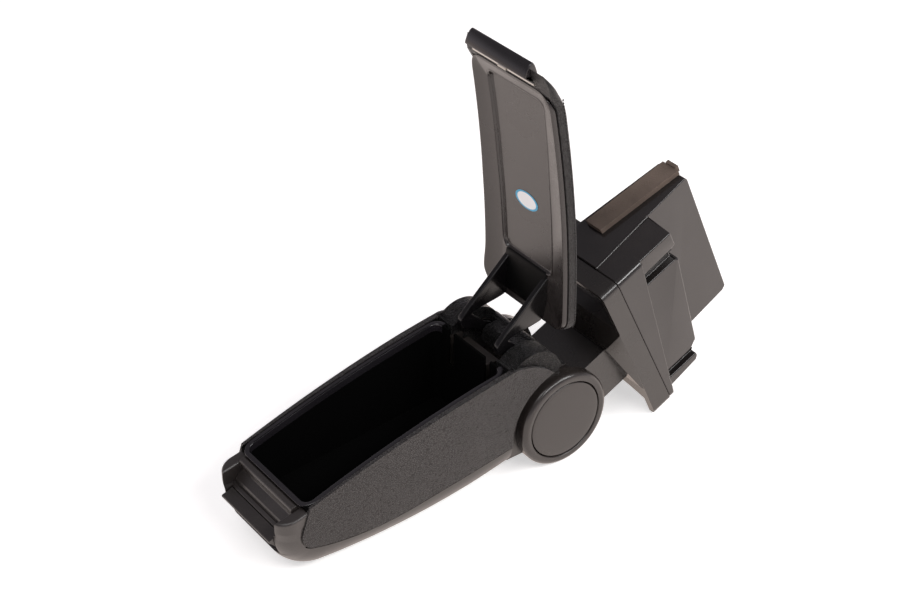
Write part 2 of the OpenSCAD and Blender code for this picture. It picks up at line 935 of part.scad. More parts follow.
module plug_body() {
    color("#252526")
        in_base()
            difference() {
                union() {
                    intersection() {
                        slab(-bezel_half + 0.3, bezel_half - 0.3)
                            flange_side();
                        bezel_plan(bezel_half - 0.3, -bezel_drop + 0.6, bezel_top - 0.6, 6);
                    }
                    slab(-plug_half, plug_half)
                        plug_side(0);
                    intersection() {
                        across(4 * tongue_half)
                            tongue_side(0);
                        linear_extrude(400, center = true)
                            tongue_plan(0);
                    }
                    difference() {
                        side_block();
                        slab(plug_half - slot_depth, plug_half + 6)
                            translate([bezel_back + 10, plug_high + 1.5])
                                square([100, 60 - plug_high - 1.5]);
                    }
                    translate([plug_half - bead_r, bezel_back + 1, 60])
                        rotate([-90, 0, 0])
                            cylinder(h = block_end - 4 - bezel_back - 1, r = bead_r, $fn = 48);
                    slab(-plug_half + 1, plug_half - 1)
                        polygon([[bezel_back + fit, -bezel_drop + 6], [bezel_back + fit, -plug_low - 5],
                            [plug_end - 23, -plug_low - 5], [plug_end - 20.5, -plug_low - 12],
                            [plug_end - 19, -plug_low - 20], [plug_end - 22, -plug_low - 23.5]]);
                }
                both_sides()
                    slab(plug_half - slot_depth, plug_half + 6)
                        polygon([[bezel_back + 8, -plug_low - 8.5], [bezel_back + 8, -plug_low - 16],
                            [plug_end, -plug_low - 16], [plug_end, -plug_low - 8.5]]);
                slab(-plug_half + plug_wall, plug_half - plug_wall)
                    plug_side(plug_wall);
                slab(-neck_half - 2, neck_half + 2)
                    translate([bezel_back - 1, -neck_drop - 4])
                        square([5 + plug_wall, neck_drop + 8 + neck_top]);
                intersection() {
                    across(4 * tongue_half)
                        tongue_side(plug_wall);
                    linear_extrude(400, center = true)
                        tongue_plan(plug_wall);
                }
                for (s = [-1, 1], z = [bezel_top - 14, -bezel_drop + 26])
                    translate([s * (bezel_half - 12), bezel_back - 4, z])
                        rotate([-90, 0, 0])
                            cylinder(h = 60, r = 1.9);
            }
}

// Foam strip laid along the tapering side of the tongue, its end folded over the tip
module foam_strip() {
    front = flange_top_back + 0.3;
    back = tongue_end - 1.4;
    color("#4a4541")
        in_base() {
            translate([0, 0, tongue_top])
                linear_extrude(foam_t)
                    polygon([[2.5 - foam_w, front], [2.5, front], [12, back], [12 - foam_w, back]]);
            translate([-3, tongue_end - 1.6, tongue_top])
                cube([12, 3.2, foam_t + 1.5]);
        }
}

module bezel_screws() {
    color("silver")
        in_base()
            for (s = [-1, 1], z = [bezel_top - 14, -bezel_drop + 26])
                translate([s * (bezel_half - 12), bezel_back - 3, z])
                    rotate([-90, 0, 0])
                        cylinder(h = 12, r = 1.85);
}

module neck_screws() {
    color("silver")
        in_base()
            both_sides()
                translate([neck_half * 0.5, neck_reach - 15, (neck_top - neck_drop) / 2])
                    rotate([-90, 0, 0]) {
                        cylinder(h = 18, r = 1.95);
                        translate([0, 0, 15.2])
                            cylinder(h = 3, r = 4);
                    }
}

// A band that follows the long arch between two heights above it
module arch_band(low, high) {
    difference() {
        translate(rim_c)
            circle(r = rim_r + high, $fn = arc_fn);
        translate(rim_c)
            circle(r = rim_r + low, $fn = arc_fn);
    }
}

module lid_plan(half, tip_half, y_front, y_rear, rear_r, front_r) {
    polygon([[-half, y_rear - rear_r], [-half, -150], [-tip_half, y_front + front_r],
        [-tip_half + front_r, y_front], [tip_half - front_r, y_front], [tip_half, y_front + front_r],
        [half, -150], [half, y_rear - rear_r], [half - rear_r, y_rear], [-half + rear_r, y_rear]]);
    for (s = [-1, 1]) {
        translate([s * (half - rear_r), y_rear - rear_r])
            circle(r = rear_r);
        translate([s * (tip_half - front_r), y_front + front_r])
            circle(r = front_r);
    }
}

field_half = 29;
field_front = -250;
field_rear = -90;
field_rise = 0.9;
module lid_panel() {
    color("#2f2f30")
        in_lid()
            difference() {
                union() {
                    intersection() {
                        across(2 * panel_half + 2)
                            arch_band(lid_gap, lid_gap + panel_t);
                        upright(200)
                            lid_plan(panel_half, panel_half - 5, panel_front, lid_rear - 2, 18, 6);
                    }
                    intersection() {
                        across(2 * panel_half + 2)
                            arch_band(lid_gap - field_rise, lid_gap + 1);
                        upright(200)
                            plan_corners(field_half, field_front, field_rear, 5);
                    }
                    both_sides()
                        slab(lug_in, lug_in + lug_t)
                            polygon([[panel_front + 0.5, rim_z(panel_front)], latch_c + [3, -4],
                                latch_c + [-3, -4], latch_c + [-4.5, 0], latch_c + [-4, 5.5],
                                latch_c + [5, 9], [panel_front + 0.5, rim_z(panel_front) + 3.4]]);
                }
                for (s = [-1, 1], y = [-84, -70])
                    translate([s * 12, y, 0])
                        cylinder(h = 120, r = 1.7);
                slab(-panel_half, panel_half)
                    translate(latch_c)
                        circle(r = 1.25 + run);
            }
}

// Hinge bracket: base plate on the lid panel and two hooked arms
module arm_side() {
    difference() {
        union() {
            translate(lid_axis)
                circle(r = knuckle_r);
            polygon([[-88, 75], [-55, 75], [-50.5, 71], [-42, 32], [-38, 40], [-29, 49],
                lid_axis + [-knuckle_r, 2], lid_axis + [-2, -knuckle_r], [-25, 44], [-27, 34], [-30, 27.5],
                [-36, 25.5], [-41, 27.5], [-88, 70.5]]);
        }
        difference() {
            translate([-120, 50])
                square([120, 80]);
            translate(rim_c)
                circle(r = rim_r + lid_gap - 0.05, $fn = arc_fn);
            translate(lid_axis + [-12, -12])
                square(24);
        }
        translate(lid_axis)
            circle(r = lid_pin_r + run);
    }
}

module lid_bracket() {
    color("#1e1e1f")
        in_lid()
            difference() {
                union() {
                    for (s = [-1, 1])
                        slab(s * arm_x - arm_t / 2, s * arm_x + arm_t / 2)
                            arm_side();
                    slab(-arm_x - arm_t / 2, arm_x + arm_t / 2)
                        intersection() {
                            arch_band(lid_gap - 2.05, lid_gap - 0.05);
                            translate([field_rear + 0.4, 0])
                                square([rear_wall_y - tray_wall - 0.8 - field_rear - 0.4, 120]);
                        }
                }
                for (s = [-1, 1], y = [-84, -70])
                    translate([s * 12, y, 0])
                        cylinder(h = 120, r = 1.9);
            }
}

module bracket_screws() {
    color("silver")
        in_lid()
            for (s = [-1, 1], y = [-84, -70])
                translate([s * 12, y, rim_z(y) + lid_gap - 4.2]) {
                    cylinder(h = 6.2, r = 1.65);
                    cylinder(h = 1.5, r = 3.2);
                }
}

module lid_board() {
    color("#6b5b4a")
        in_lid()
            intersection() {
                across(2 * lid_half)
                    arch_band(lid_gap + panel_t, lid_gap + panel_t + board_t);
                upright(200)
                    lid_plan(panel_half - 2, panel_half - 8, panel_front + 4, lid_rear - 4, 14, 8);
            }
}

// Crowned padding: a cross-section swept along the long arch, rounded at both ends
tail_r = 14;
outer_r = rim_r + lid_gap + lid_rise;
function arc_point(y, r) = [y, rim_c[1] + sqrt(r * r - pow(y - rim_c[0], 2))];
module crowned(inset) {
    half = lid_half - inset;
    crown_h = lid_rise - lid_edge;
    crown_r = (lid_half * lid_half + crown_h * crown_h) / (2 * crown_h);
    nose_c = arc_point(lid_nose + nose_r - 1, outer_r - nose_r);
    tail_c = arc_point(lid_rear - tail_r, outer_r - tail_r);
    intersection() {
        translate([0, rim_c[0], rim_c[1]])
            rotate([90, 0, 0])
                rotate([0, 90, 0])
                    rotate_extrude(angle = 180, $fn = 720)
                        intersection() {
                            translate([rim_r + lid_gap - 2 * inset, -half])
                                square([lid_rise + 2 * inset, 2 * half]);
                            translate([outer_r - crown_r, 0])
                                circle(r = crown_r - inset, $fn = 720);
                        }
        across(2 * lid_half)
            union() {
                translate(nose_c)
                    circle(r = nose_r - inset, $fn = 128);
                translate([nose_c[0], 0])
                    square([tail_c[0] - nose_c[0], 150]);
                translate([nose_c[0], 0])
                    square([lid_rear - inset - nose_c[0], tail_c[1]]);
                translate(tail_c)
                    circle(r = tail_r - inset);
            }
        upright(250)
            lid_plan(half + 0.5, half - 5, lid_nose + inset, lid_rear - inset, 18, 22);
    }
}

module lid_foam() {
    color("#55504a")
        in_lid()
            difference() {
                crowned(cover_t + 0.1);
                across(2 * lid_half + 2)
                    translate(rim_c)
                        circle(r = rim_r + lid_gap + panel_t + board_t, $fn = arc_fn);
                slab(-panel_half, panel_half)
                    translate([lid_nose - 5, 0])
                        square([panel_front - lid_nose + 8.9, latch_c[1] + 12]);
            }
}

module lid_cover() {
    color("#1c1b1b")
        in_lid()
            difference() {
                crowned(0);
                crowned(cover_t);
                slab(-lever_half - fit, lever_half + fit)
                    translate([lid_nose - 5, 0])
                        square([12, latch_c[1] + 3.4]);
            }
}

lever_half = 37.5;
lug_in = 30.5;
lug_t = 4;
module lever_side() {
    union() {
        translate(latch_c)
            circle(r = 3.2);
        polygon([latch_c + [2.9, 0.6], latch_c + [-0.4, 2.9], latch_c + [-4, 2.9], latch_c + [-14, 0.6],
            latch_c + [-14.4, -1.2], latch_c + [-9, -4.6], latch_c + [-3.5, -5.6], latch_c + [1.5, -3.6],
            latch_c + [2.9, -1.5]]);
    }
}

module latch_lever() {
    color("#29292a")
        in_lid()
            difference() {
                slab(-lever_half, lever_half)
                    lever_side();
                slab(-lever_half - 1, lever_half + 1)
                    translate(latch_c)
                        circle(r = 1.25 + run);
                slab(-6, 6)
                    translate(latch_c + [-2.6, -2.6])
                        square([8, 5.2]);
                both_sides()
                    slab(lug_in - fit, lug_in + lug_t + fit)
                        translate(latch_c + [-5.4, -8])
                            square([12, 16]);
            }
}

module latch_pin() {
    color("silver")
        in_lid()
            slab(-lever_half + 0.4, lever_half - 0.4)
                translate(latch_c)
                    circle(r = 1.25);
}

module latch_spring() {
    color("silver")
        in_lid()
            for (i = [-4:4])
                translate([i * 1.1 - 0.4, latch_c[0], latch_c[1]])
                    rotate([0, 90, 0])
                        difference() {
                            cylinder(h = 0.8, r = 2.3, $fn = 32);
                            translate([0, 0, -1])
                                cylinder(h = 3, r = 1.5, $fn = 32);
                        }
}

// The sub-parts, each drawn when its name is asked for
outer_shell();
left_side_panel();
right_side_panel();
storage_tray();
front_bridge();
lower_lip();
hinge_yoke();
rear_trim();
lid_hinge_pin();
left_cap();
right_cap();
left_cap_disc();
right_cap_disc();
pivot_bolt();
pivot_nut();
neck();
pivot_bushes();
friction_discs();
stop_pin();
bezel();
plug_body();
foam_strip();
bezel_screws();
neck_screws();
lid_panel();
lid_bracket();
bracket_screws();
lid_board();
lid_foam();
lid_cover();
latch_lever();
latch_pin();
latch_spring();
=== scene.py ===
# Car centre armrest with a storage box, its padded lid swung open and the whole arm raised on its plug.
# Lengths in the sections are millimetres about the hub axis, as the part's source has them. A lid piece
# that is modelled anew is worked out closed, and then turned open about the hinge pin.
import json
import math

import bmesh
import bpy
import numpy as np
from mathutils import Matrix, Vector

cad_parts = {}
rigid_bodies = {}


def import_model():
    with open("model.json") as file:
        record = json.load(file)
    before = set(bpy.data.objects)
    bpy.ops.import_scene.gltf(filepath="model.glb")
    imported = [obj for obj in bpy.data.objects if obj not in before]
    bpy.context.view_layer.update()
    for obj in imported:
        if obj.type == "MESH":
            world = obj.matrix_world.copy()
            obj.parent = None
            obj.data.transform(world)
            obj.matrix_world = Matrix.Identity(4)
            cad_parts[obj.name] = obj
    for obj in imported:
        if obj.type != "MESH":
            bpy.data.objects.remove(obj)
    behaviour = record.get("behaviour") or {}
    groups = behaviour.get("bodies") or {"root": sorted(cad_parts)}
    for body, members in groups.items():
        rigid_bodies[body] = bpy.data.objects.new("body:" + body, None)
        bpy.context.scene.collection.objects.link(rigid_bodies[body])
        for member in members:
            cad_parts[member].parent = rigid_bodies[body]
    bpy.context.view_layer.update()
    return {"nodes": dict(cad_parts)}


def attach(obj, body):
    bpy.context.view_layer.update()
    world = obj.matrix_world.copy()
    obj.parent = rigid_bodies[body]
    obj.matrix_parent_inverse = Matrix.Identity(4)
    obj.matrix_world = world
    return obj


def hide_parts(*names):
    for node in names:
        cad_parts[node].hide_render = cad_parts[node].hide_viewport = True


for left_over in list(bpy.data.objects):
    bpy.data.objects.remove(left_over)
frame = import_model()

# Camera: stands to the right of the box's front and looks down on it, a little over a metre away.
# Its place, turn and lens were solved from the hub disc's circle and from mirrored points of the box.
view = bpy.data.cameras.new("view")
view.lens = 76.124
view.sensor_width = 36.0
view.clip_start, view.clip_end = 0.02, 60
camera = bpy.data.objects.new("view", view)
camera_place = (1.018651, -0.795108, 1.018081)
right_way = Vector((0.598274, 0.801292, 0.0))
up_way = Vector((-0.450572, 0.336413, 0.826929))
back_way = Vector((0.662611, -0.494730, 0.562306))
camera.matrix_world = Matrix.Translation(camera_place) @ Matrix(
    (right_way, up_way, back_way)).transposed().to_4x4()
bpy.context.scene.collection.objects.link(camera)
bpy.context.scene.camera = camera
bpy.context.scene.view_settings.view_transform = "Standard"


# Table: a white paper sweep that reads as pure white in the picture and keeps the soft shadows.
# It is matte card, and its glow stands for the lit paper all round, which the black plastic mirrors.
def linear(code, alpha=1.0):
    """Linear colour of an sRGB hex code: each channel goes through the sRGB curve."""
    channels = [int(code[i:i + 2], 16) / 255 for i in (1, 3, 5)]
    return tuple(c / 12.92 if c <= 0.04045 else ((c + 0.055) / 1.055) ** 2.4 for c in channels) + (alpha,)


def add_node(tree, kind, links=None, **settings):
    """Adds one shader node: settings go to its properties or sockets by name, links to its inputs."""
    made = tree.nodes.new("ShaderNode" + kind)
    for name, value in settings.items():
        if hasattr(made, name):
            setattr(made, name, value)
        else:
            made.inputs[name.replace("_", " ")].default_value = value
    for name, output in (links or {}).items():
        tree.links.new(output, made.inputs[int(name) if name.isdigit() else name])
    return made


def new_material(name):
    """An empty node material and its tree."""
    made = bpy.data.materials.new(name)
    made.use_nodes = True
    made.node_tree.nodes.clear()
    return made, made.node_tree


table_reach = 9.0
paper, tree = new_material("white_paper_sweep")
seen = add_node(tree, "LightPath")
card = add_node(tree, "BsdfDiffuse", Color=linear("#f4f2f0"))
level = add_node(tree, "MapRange", {"Value": seen.outputs["Is Glossy Ray"]}, To_Min=0.25, To_Max=0.8)
warm = add_node(tree, "Emission", {"Strength": level.outputs[0]}, Color=linear("#ffeadd"))
plain = add_node(tree, "Emission", Strength=0.55, Color=linear("#ffffff"))
glow = add_node(tree, "MixShader",
                {"Fac": seen.outputs["Is Camera Ray"], "1": warm.outputs[0], "2": plain.outputs[0]})
both = add_node(tree, "AddShader", {"0": card.outputs[0], "1": glow.outputs[0]})
add_node(tree, "OutputMaterial", {"Surface": both.outputs[0]})
sheet = bpy.data.meshes.new("table_top")
sheet.from_pydata([(-table_reach, -table_reach, 0), (table_reach, -table_reach, 0),
                   (table_reach, table_reach, 0), (-table_reach, table_reach, 0)], [], [(0, 1, 2, 3)])
sheet.materials.append(paper)
table = bpy.data.objects.new("table_top", sheet)
bpy.context.scene.collection.objects.link(table)

# Light: a white tent. The world is white low down, where the paper curves up, and dim above it. Soft
# boxes stand at the back and at the right for the bright thin lines on the edges, and one high in front.
world = bpy.data.worlds.new("studio_tent")
bpy.context.scene.world = world
world.use_nodes = True
tree = world.node_tree
tree.nodes.clear()
seen = add_node(tree, "LightPath")
way = add_node(tree, "TexCoord")
height = add_node(tree, "SeparateXYZ", {"Vector": way.outputs["Generated"]})
fade = add_node(tree, "MapRange", {"Value": height.outputs["Z"]}, From_Min=0.06, From_Max=0.36,
                To_Min=0.95, To_Max=0.27)
dome = add_node(tree, "Background", {"Strength": fade.outputs[0]}, Color=linear("#f4ecf4"))
white = add_node(tree, "Background", Color=linear("#ffffff"), Strength=1.0)
choice = add_node(tree, "MixShader",
                  {"Fac": seen.outputs["Is Camera Ray"], "1": dome.outputs[0], "2": white.outputs[0]})
add_node(tree, "OutputWorld", {"Surface": choice.outputs[0]})


def soft_box(name, place, width, height, power):
    """An area lamp of the given size in metres that faces the middle of the armrest."""
    lamp = bpy.data.lights.new(name, "AREA")
    lamp.shape, lamp.size, lamp.size_y, lamp.energy = "RECTANGLE", width, height, power
    made = bpy.data.objects.new(name, lamp)
    made.location = place
    aim = Vector((0, 0, 0.1)) - Vector(place)
    made.rotation_euler = aim.to_track_quat("-Z", "Y").to_euler()
    bpy.context.scene.collection.objects.link(made)


soft_box("back_soft_box", (1.15, 1.05, 1.35), width=0.5, height=1.0, power=13)
soft_box("edge_soft_box", (1.35, 0.1, 1.4), width=1.3, height=0.3, power=15)
soft_box("high_soft_box", (0.3, -1.3, 2.2), width=1.4, height=1.0, power=15)


# Outer shell: one deep polypropylene moulding with a soft round under edge. Its front rises in two horns
# beside the catch, and its sides are recessed for the leatherette panels, which snap into it.
# Its near-black plastic has a fine spark-eroded grain, so it mirrors the white table only dimly.
def moulded(name, colour, roughness, grain, depth, mottle=0.12, specular=0.5):
    """Moulded plastic: grain in mm, its depth in mm, and a slow unevenness of colour and gloss, about
    38 mm across, that keeps a flat face from looking like paint."""
    made, tree = new_material(name)
    where = add_node(tree, "TexCoord")
    fine = add_node(tree, "TexNoise", {"Vector": where.outputs["Object"]}, Scale=1000 / grain, Detail=2.0)
    slow = add_node(tree, "TexNoise", {"Vector": where.outputs["Object"]}, Scale=1000 / 38, Detail=3.0)
    tint = add_node(tree, "ValToRGB", {"Fac": slow.outputs["Fac"]})
    base = linear(colour)
    tint.color_ramp.elements[0].position, tint.color_ramp.elements[1].position = 0.3, 0.7
    tint.color_ramp.elements[0].color = tuple(c * (1 - mottle) for c in base[:3]) + (1,)
    tint.color_ramp.elements[1].color = tuple(c * (1 + mottle) for c in base[:3]) + (1,)
    gloss = add_node(tree, "MapRange", {"Value": slow.outputs["Fac"]}, From_Min=0.3, From_Max=0.7,
                     To_Min=roughness - 0.05, To_Max=roughness + 0.05)
    bump = add_node(tree, "Bump", {"Height": fine.outputs["Fac"]}, Strength=1.0, Distance=depth / 1000)
    shade = add_node(tree, "BsdfPrincipled",
                     {"Base Color": tint.outputs["Color"], "Roughness": gloss.outputs[0],
                      "Normal": bump.outputs[0]}, Specular_IOR_Level=specular)
    add_node(tree, "OutputMaterial", {"Surface": shade.outputs[0]})
    return made


def keep_piece(piece, body, slot_name, *nodes):
    """Puts a finished piece in the scene, lets it ride on its body and stand for its CAD nodes."""
    if not piece.users_collection:
        bpy.context.scene.collection.objects.link(piece)
    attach(piece, body)
    if nodes:
        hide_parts(*nodes)
    return piece


hub_y, hub_z = 33.0763, 43.5
crease_angle = math.radians(40)


def loft(name, rings, material, ends="fan"):
    """Closed skin over rings of points, given as an array of (ring, point, xyz) in mm about the hub axis:
    each ring is joined to the next all the way round. The ends are closed by a fan to their mean point,
    by one flat face, or by joining the last ring to the first."""
    rings = np.asarray(rings, float) + (0, hub_y, hub_z)
    count, around = rings.shape[:2]
    points = np.concatenate([rings.reshape(-1, 3), rings[:1].mean(1), rings[-1:].mean(1)]) / 1000
    i, j = np.meshgrid(np.arange(count - 1), np.arange(around), indexing="ij")
    following = (j + 1) % around
    quads = np.stack([i * around + j, i * around + following, (i + 1) * around + following,
                      (i + 1) * around + j], -1).reshape(-1, 4)
    j = np.arange(around)
    following = (j + 1) % around
    end = (count - 1) * around
    if ends == "fan":
        first_tip, last_tip = np.full(around, count * around), np.full(around, count * around + 1)
        caps = np.concatenate([np.stack([first_tip, following, j], -1),
                               np.stack([last_tip, end + j, end + following], -1)])
    elif ends == "face":
        caps = np.stack([j[::-1], end + j])
    else:
        caps = np.stack([end + j, end + following, following, j], -1)
    mesh = bpy.data.meshes.new(name)
    mesh.from_pydata(points, [], quads.tolist() + caps.tolist())
    mesh.materials.append(material)
    close_mesh(mesh)
    mesh.set_sharp_from_angle(angle=crease_angle)
    return bpy.data.objects.new(name, mesh)


def close_mesh(mesh):
    """Merges doubles, drops points that no face uses, turns the faces outwards and shades them smooth."""
    merged = bmesh.new()
    merged.from_mesh(mesh)
    bmesh.ops.remove_doubles(merged, verts=merged.verts, dist=1e-6)
    loose = [vert for vert in merged.verts if not vert.link_faces]
    bmesh.ops.delete(merged, geom=loose, context="VERTS")
    bmesh.ops.recalc_face_normals(merged, faces=merged.faces)
    merged.to_mesh(mesh)
    merged.free()
    mesh.polygons.foreach_set("use_smooth", [True] * len(mesh.polygons))


front_y, front_top, front_low = -271, 17.5, -1.7
under_round, under_arc = 40, 600
arc_centre_y, arc_centre_z = -186, 556.5
arc_start, arc_sweep = 0.0805, 0.3035
upright_from, upright_over = -130, 60


def side_outline(u):
    """Front and underside of the box in side view for u from 0 to 3: the straight front face, the 40 mm
    round below it, and the 600 mm arc of the underside, with the direction that points into the box.
    That direction turns upright behind y -130, where the shell runs into the hub."""
    face = np.clip(u, 0, 1)[:, None]
    bend = np.clip(u - 1, 0, 1)[:, None] * (math.pi / 2 - arc_start)
    sweep = np.clip(u - 2, 0, 1)[:, None] * arc_sweep - arc_start
    on_face = np.concatenate([front_y + 0 * face, front_top - (front_top - front_low) * face], 1)
    on_round = np.concatenate([front_y + under_round * (1 - np.cos(bend)),
                               front_low - under_round * np.sin(bend)], 1)
    on_arc = np.concatenate([arc_centre_y + under_arc * np.sin(sweep),
                             arc_centre_z - under_arc * np.cos(sweep)], 1)
    here = np.where(face < 1, on_face, np.where(u[:, None] <= 2, on_round, on_arc))
    into = np.where(u[:, None] <= 2, np.concatenate([np.cos(bend), np.sin(bend)], 1),
                    np.concatenate([-np.sin(sweep), np.cos(sweep)], 1))
    upright = np.clip((here[:, :1] - upright_from) / upright_over, 0, 1) * (u[:, None] > 2)
    into = into * (1 - upright) + np.array([[0.0, 1.0]]) * upright
    return here, into / np.linalg.norm(into, axis=1)[:, None]


panel_gap = 1.3
seam_centre_y, seam_centre_z, seam_radius = -184.3, 208.1, 230
seam_bend_y, seam_bend_z, seam_tilt = -150.3, -19.4, math.radians(8.5)
lean_y, lean_z, lean_across, lean_down = -252.8, 2.67, 0.9472, 0.3206
panel_round_y, panel_round_z, panel_round = -240.5, -1.5, 13
panel_front = -243.9


def in_panel(y, z):
    """True inside the side panel's outline grown by the seam's gap: over its seam, which is an arc and
    then a straight line, behind its leaning front edge, or in the 13 mm round that joins them."""
    below_centre = np.sqrt(np.clip((seam_radius + panel_gap) ** 2 - (y - seam_centre_y) ** 2, 0, None))
    line = seam_bend_z - panel_gap + (y - seam_bend_y) * math.tan(seam_tilt)
    seam = np.where(y < seam_bend_y, seam_centre_z - below_centre, line)
    behind_lean = (y - lean_y) * lean_across - (z - lean_z) * lean_down > -panel_gap
    in_round = np.hypot(y - panel_round_y, z - panel_round_z) < panel_round + panel_gap
    return in_round | ((y > panel_front) & (z > seam) & behind_lean)


# Each ring is a section square to the side outline: x across, and depth into the box. It runs from the
# panel's seam round the soft edge to the middle, and back inside with a 2.6 mm wall. The first five
# rings roll the horns' tops over, which follow the rim's slope. Between the horns, and then beside the
# lower lip, the section is cut out down to 22.5 mm.
shell_half, shell_taper, taper_from, taper_long = 51.7, 3, -90, 169
shell_wall = 2.6
probe_reach, bare_depth, horn_depth = 60, 24.0, 40
front_soft, under_soft_more, soft_from, soft_over = 14, 9, 0.6, 0.9
horn_gap, horn_low, lip_gap, lip_low = 37.6, 2, 35.4, -20
catch_depth, catch_back, catch_half = 22.5, 23.7, 46.5
rim_slope, rim_from, slope_until = 0.2133, -250.5, 0.5
top_round, rolls = 2.2, 5
u = np.concatenate([np.linspace(0.0, 0.98, 26), np.linspace(1, 2, 34), np.linspace(2.02, 3, 70)])
here, into = side_outline(u)
probe = np.linspace(0, probe_reach, 1201)
track = here[:, None] + probe[None, :, None] * into[:, None]
found = in_panel(track[..., 0], track[..., 1])
depth = np.where(found.any(1), probe[found.argmax(1)], bare_depth)
depth = np.where(u < 1, np.minimum(depth, horn_depth), depth)
tapered = shell_half - shell_taper * (taper_from - here[:, 0]) / taper_long
half = np.where(here[:, 0] > taper_from, shell_half, tapered)
soft = front_soft + under_soft_more * np.clip((u - soft_from) / soft_over, 0, 1)
beside_lip = (here[:, 1] > lip_low) & (u < 2)
opened = np.where(here[:, 1] > horn_low, horn_gap, np.where(beside_lip, lip_gap, 0.0))
roll = np.linspace(0, math.pi / 2, rolls + 1)[:-1]
pick = np.concatenate([np.zeros(rolls, int), np.arange(len(u))])
inset = np.concatenate([top_round * (1 - np.sin(roll)), np.zeros(len(u))])
raised = np.concatenate([top_round * np.cos(roll), np.zeros(len(u))])
w, r, d, gap = half[pick] - inset, soft[pick] - inset, depth[pick], opened[pick]
is_open = gap > 0
low = np.arcsin(np.clip((r - d + inset) / r, 0, 1))
edge_x = np.where(is_open, gap + inset, 0.0)
high = np.where(is_open, np.arccos(np.clip((edge_x - w + r) / r, 0, 1)), math.pi / 2)
phi = np.linspace(low, high, 18, axis=-1)
w, r, d, deep = w[:, None], r[:, None], d[:, None], inset[:, None]
round_x, round_d = w - r + r * np.cos(phi), deep + r - r * np.sin(phi)
inner_x = w - r + (r - shell_wall) * np.cos(phi)
inner_d = deep + r - (r - shell_wall) * np.sin(phi)
start_x = np.where(d > r, w, round_x[:, :1])
middle_x = np.where(is_open[:, None], edge_x[:, None], w - r)
floor_d = np.where(is_open[:, None], catch_depth, deep)
half_x = np.concatenate([start_x, round_x, middle_x, middle_x * np.where(is_open[:, None], 1, 0.5),
                         0 * w], 1)
half_d = np.concatenate([d, round_d, np.where(is_open[:, None], round_d[:, -1:], floor_d), floor_d,
                         floor_d], 1)
closed_x = np.concatenate([inner_x[:, :1], inner_x, 0 * w], 1)
closed_d = np.concatenate([np.maximum(d, inner_d[:, :1]), inner_d, deep + shell_wall], 1)
back_x = np.where(is_open[:, None], np.linspace(catch_half, 0, 20)[None], closed_x)
back_d = np.where(is_open[:, None], catch_back, closed_d)
across = np.concatenate([half_x, -half_x[:, -2::-1], -back_x, back_x[:, -2::-1]], 1)
inwards = np.concatenate([half_d, half_d[:, -2::-1], back_d, back_d[:, -2::-1]], 1)
spread = here[pick][:, None] + inwards[..., None] * into[pick][:, None]
near_top = np.clip(1 - np.concatenate([np.zeros(rolls), u]) / slope_until, 0, 1)[:, None]
spread[..., 1] += rim_slope * (spread[..., 0] - rim_from) * near_top + raised[:, None]
shell_rings = np.concatenate([across[..., None], spread], -1)
shell_plastic = moulded("grained_polypropylene", "#262220", roughness=0.36, grain=1.5, depth=0.09,
                        mottle=0.2, specular=0.68)
keep_piece(loft("outer_shell_moulded", shell_rings, shell_plastic, "face"), "box", "shell", "outer_shell")


# Front bridge, lower lip and hinge yoke: three more mouldings of the shell's grained polypropylene. The
# bridge snaps in between the horns as the lid's catch bar, and the yoke carries both hinges.
def rounded_copy(node, body, slot_name, material, radius, angle=24, clamp=True):
    """A CAD solid with its doubles merged and flat areas joined; every edge sharper than the angle in
    degrees is rolled over by the radius in mm, as the mould leaves it, to catch a thin line of light."""
    mesh = frame["nodes"][node].data.copy()
    mesh.name = node + "_moulded"
    merged = bmesh.new()
    merged.from_mesh(mesh)
    bmesh.ops.remove_doubles(merged, verts=merged.verts, dist=2e-6)
    bmesh.ops.dissolve_limit(merged, angle_limit=math.radians(0.6), verts=merged.verts, edges=merged.edges)
    for face in merged.faces:
        face.smooth = True
    merged.to_mesh(mesh)
    merged.free()
    mesh.set_sharp_from_angle(angle=math.radians(0.7 * angle))
    mesh.materials.clear()
    mesh.materials.append(material)
    piece = bpy.data.objects.new(node + "_moulded", mesh)
    roll = piece.modifiers.new("rolled edges", "BEVEL")
    roll.width, roll.segments, roll.limit_method = radius / 1000, 3, "ANGLE"
    roll.angle_limit = math.radians(angle)
    roll.use_clamp_overlap, roll.harden_normals = clamp, True
    roll.miter_outer = "MITER_ARC"
    return keep_piece(piece, body, slot_name, node)


rounded_copy("front_bridge", "box", "shell", shell_plastic, radius=0.7)
rounded_copy("lower_lip", "box", "shell", shell_plastic, radius=0.6)
rounded_copy("hinge_yoke", "box", "shell", shell_plastic, radius=0.6)

# Neck, bezel and plug: the fixed base, which goes into the console. The neck and bezel are satin
# polypropylene screwed to the plug, whose smoother sides show slow waves of shrinkage as they mirror.
satin_plastic = moulded("satin_polypropylene", "#211e1c", roughness=0.27, grain=1.0, depth=0.02,
                        mottle=0.2, specular=0.6)
plug_plastic = moulded("polished_polypropylene", "#23201f", roughness=0.18, grain=14.0, depth=0.08,
                       mottle=0.2, specular=0.62)
rounded_copy("neck", "base", "base", satin_plastic, radius=1.2)
rounded_copy("bezel", "base", "base", satin_plastic, radius=2.6, angle=14)
rounded_copy("plug_body", "base", "base", plug_plastic, radius=1.4, angle=30, clamp=False)

# Foam strip: self-adhesive open-cell foam along the tongue, which stops it rattling in the console.
# It is cut from brown-grey sheet, fully dull, and its cells of about 1.4 mm roughen it.
foam_skin = moulded("open_cell_foam", "#645850", roughness=0.9, grain=1.4, depth=0.3, mottle=0.25,
                    specular=0.2)
rounded_copy("foam_strip", "base", "foam", foam_skin, radius=0.8)

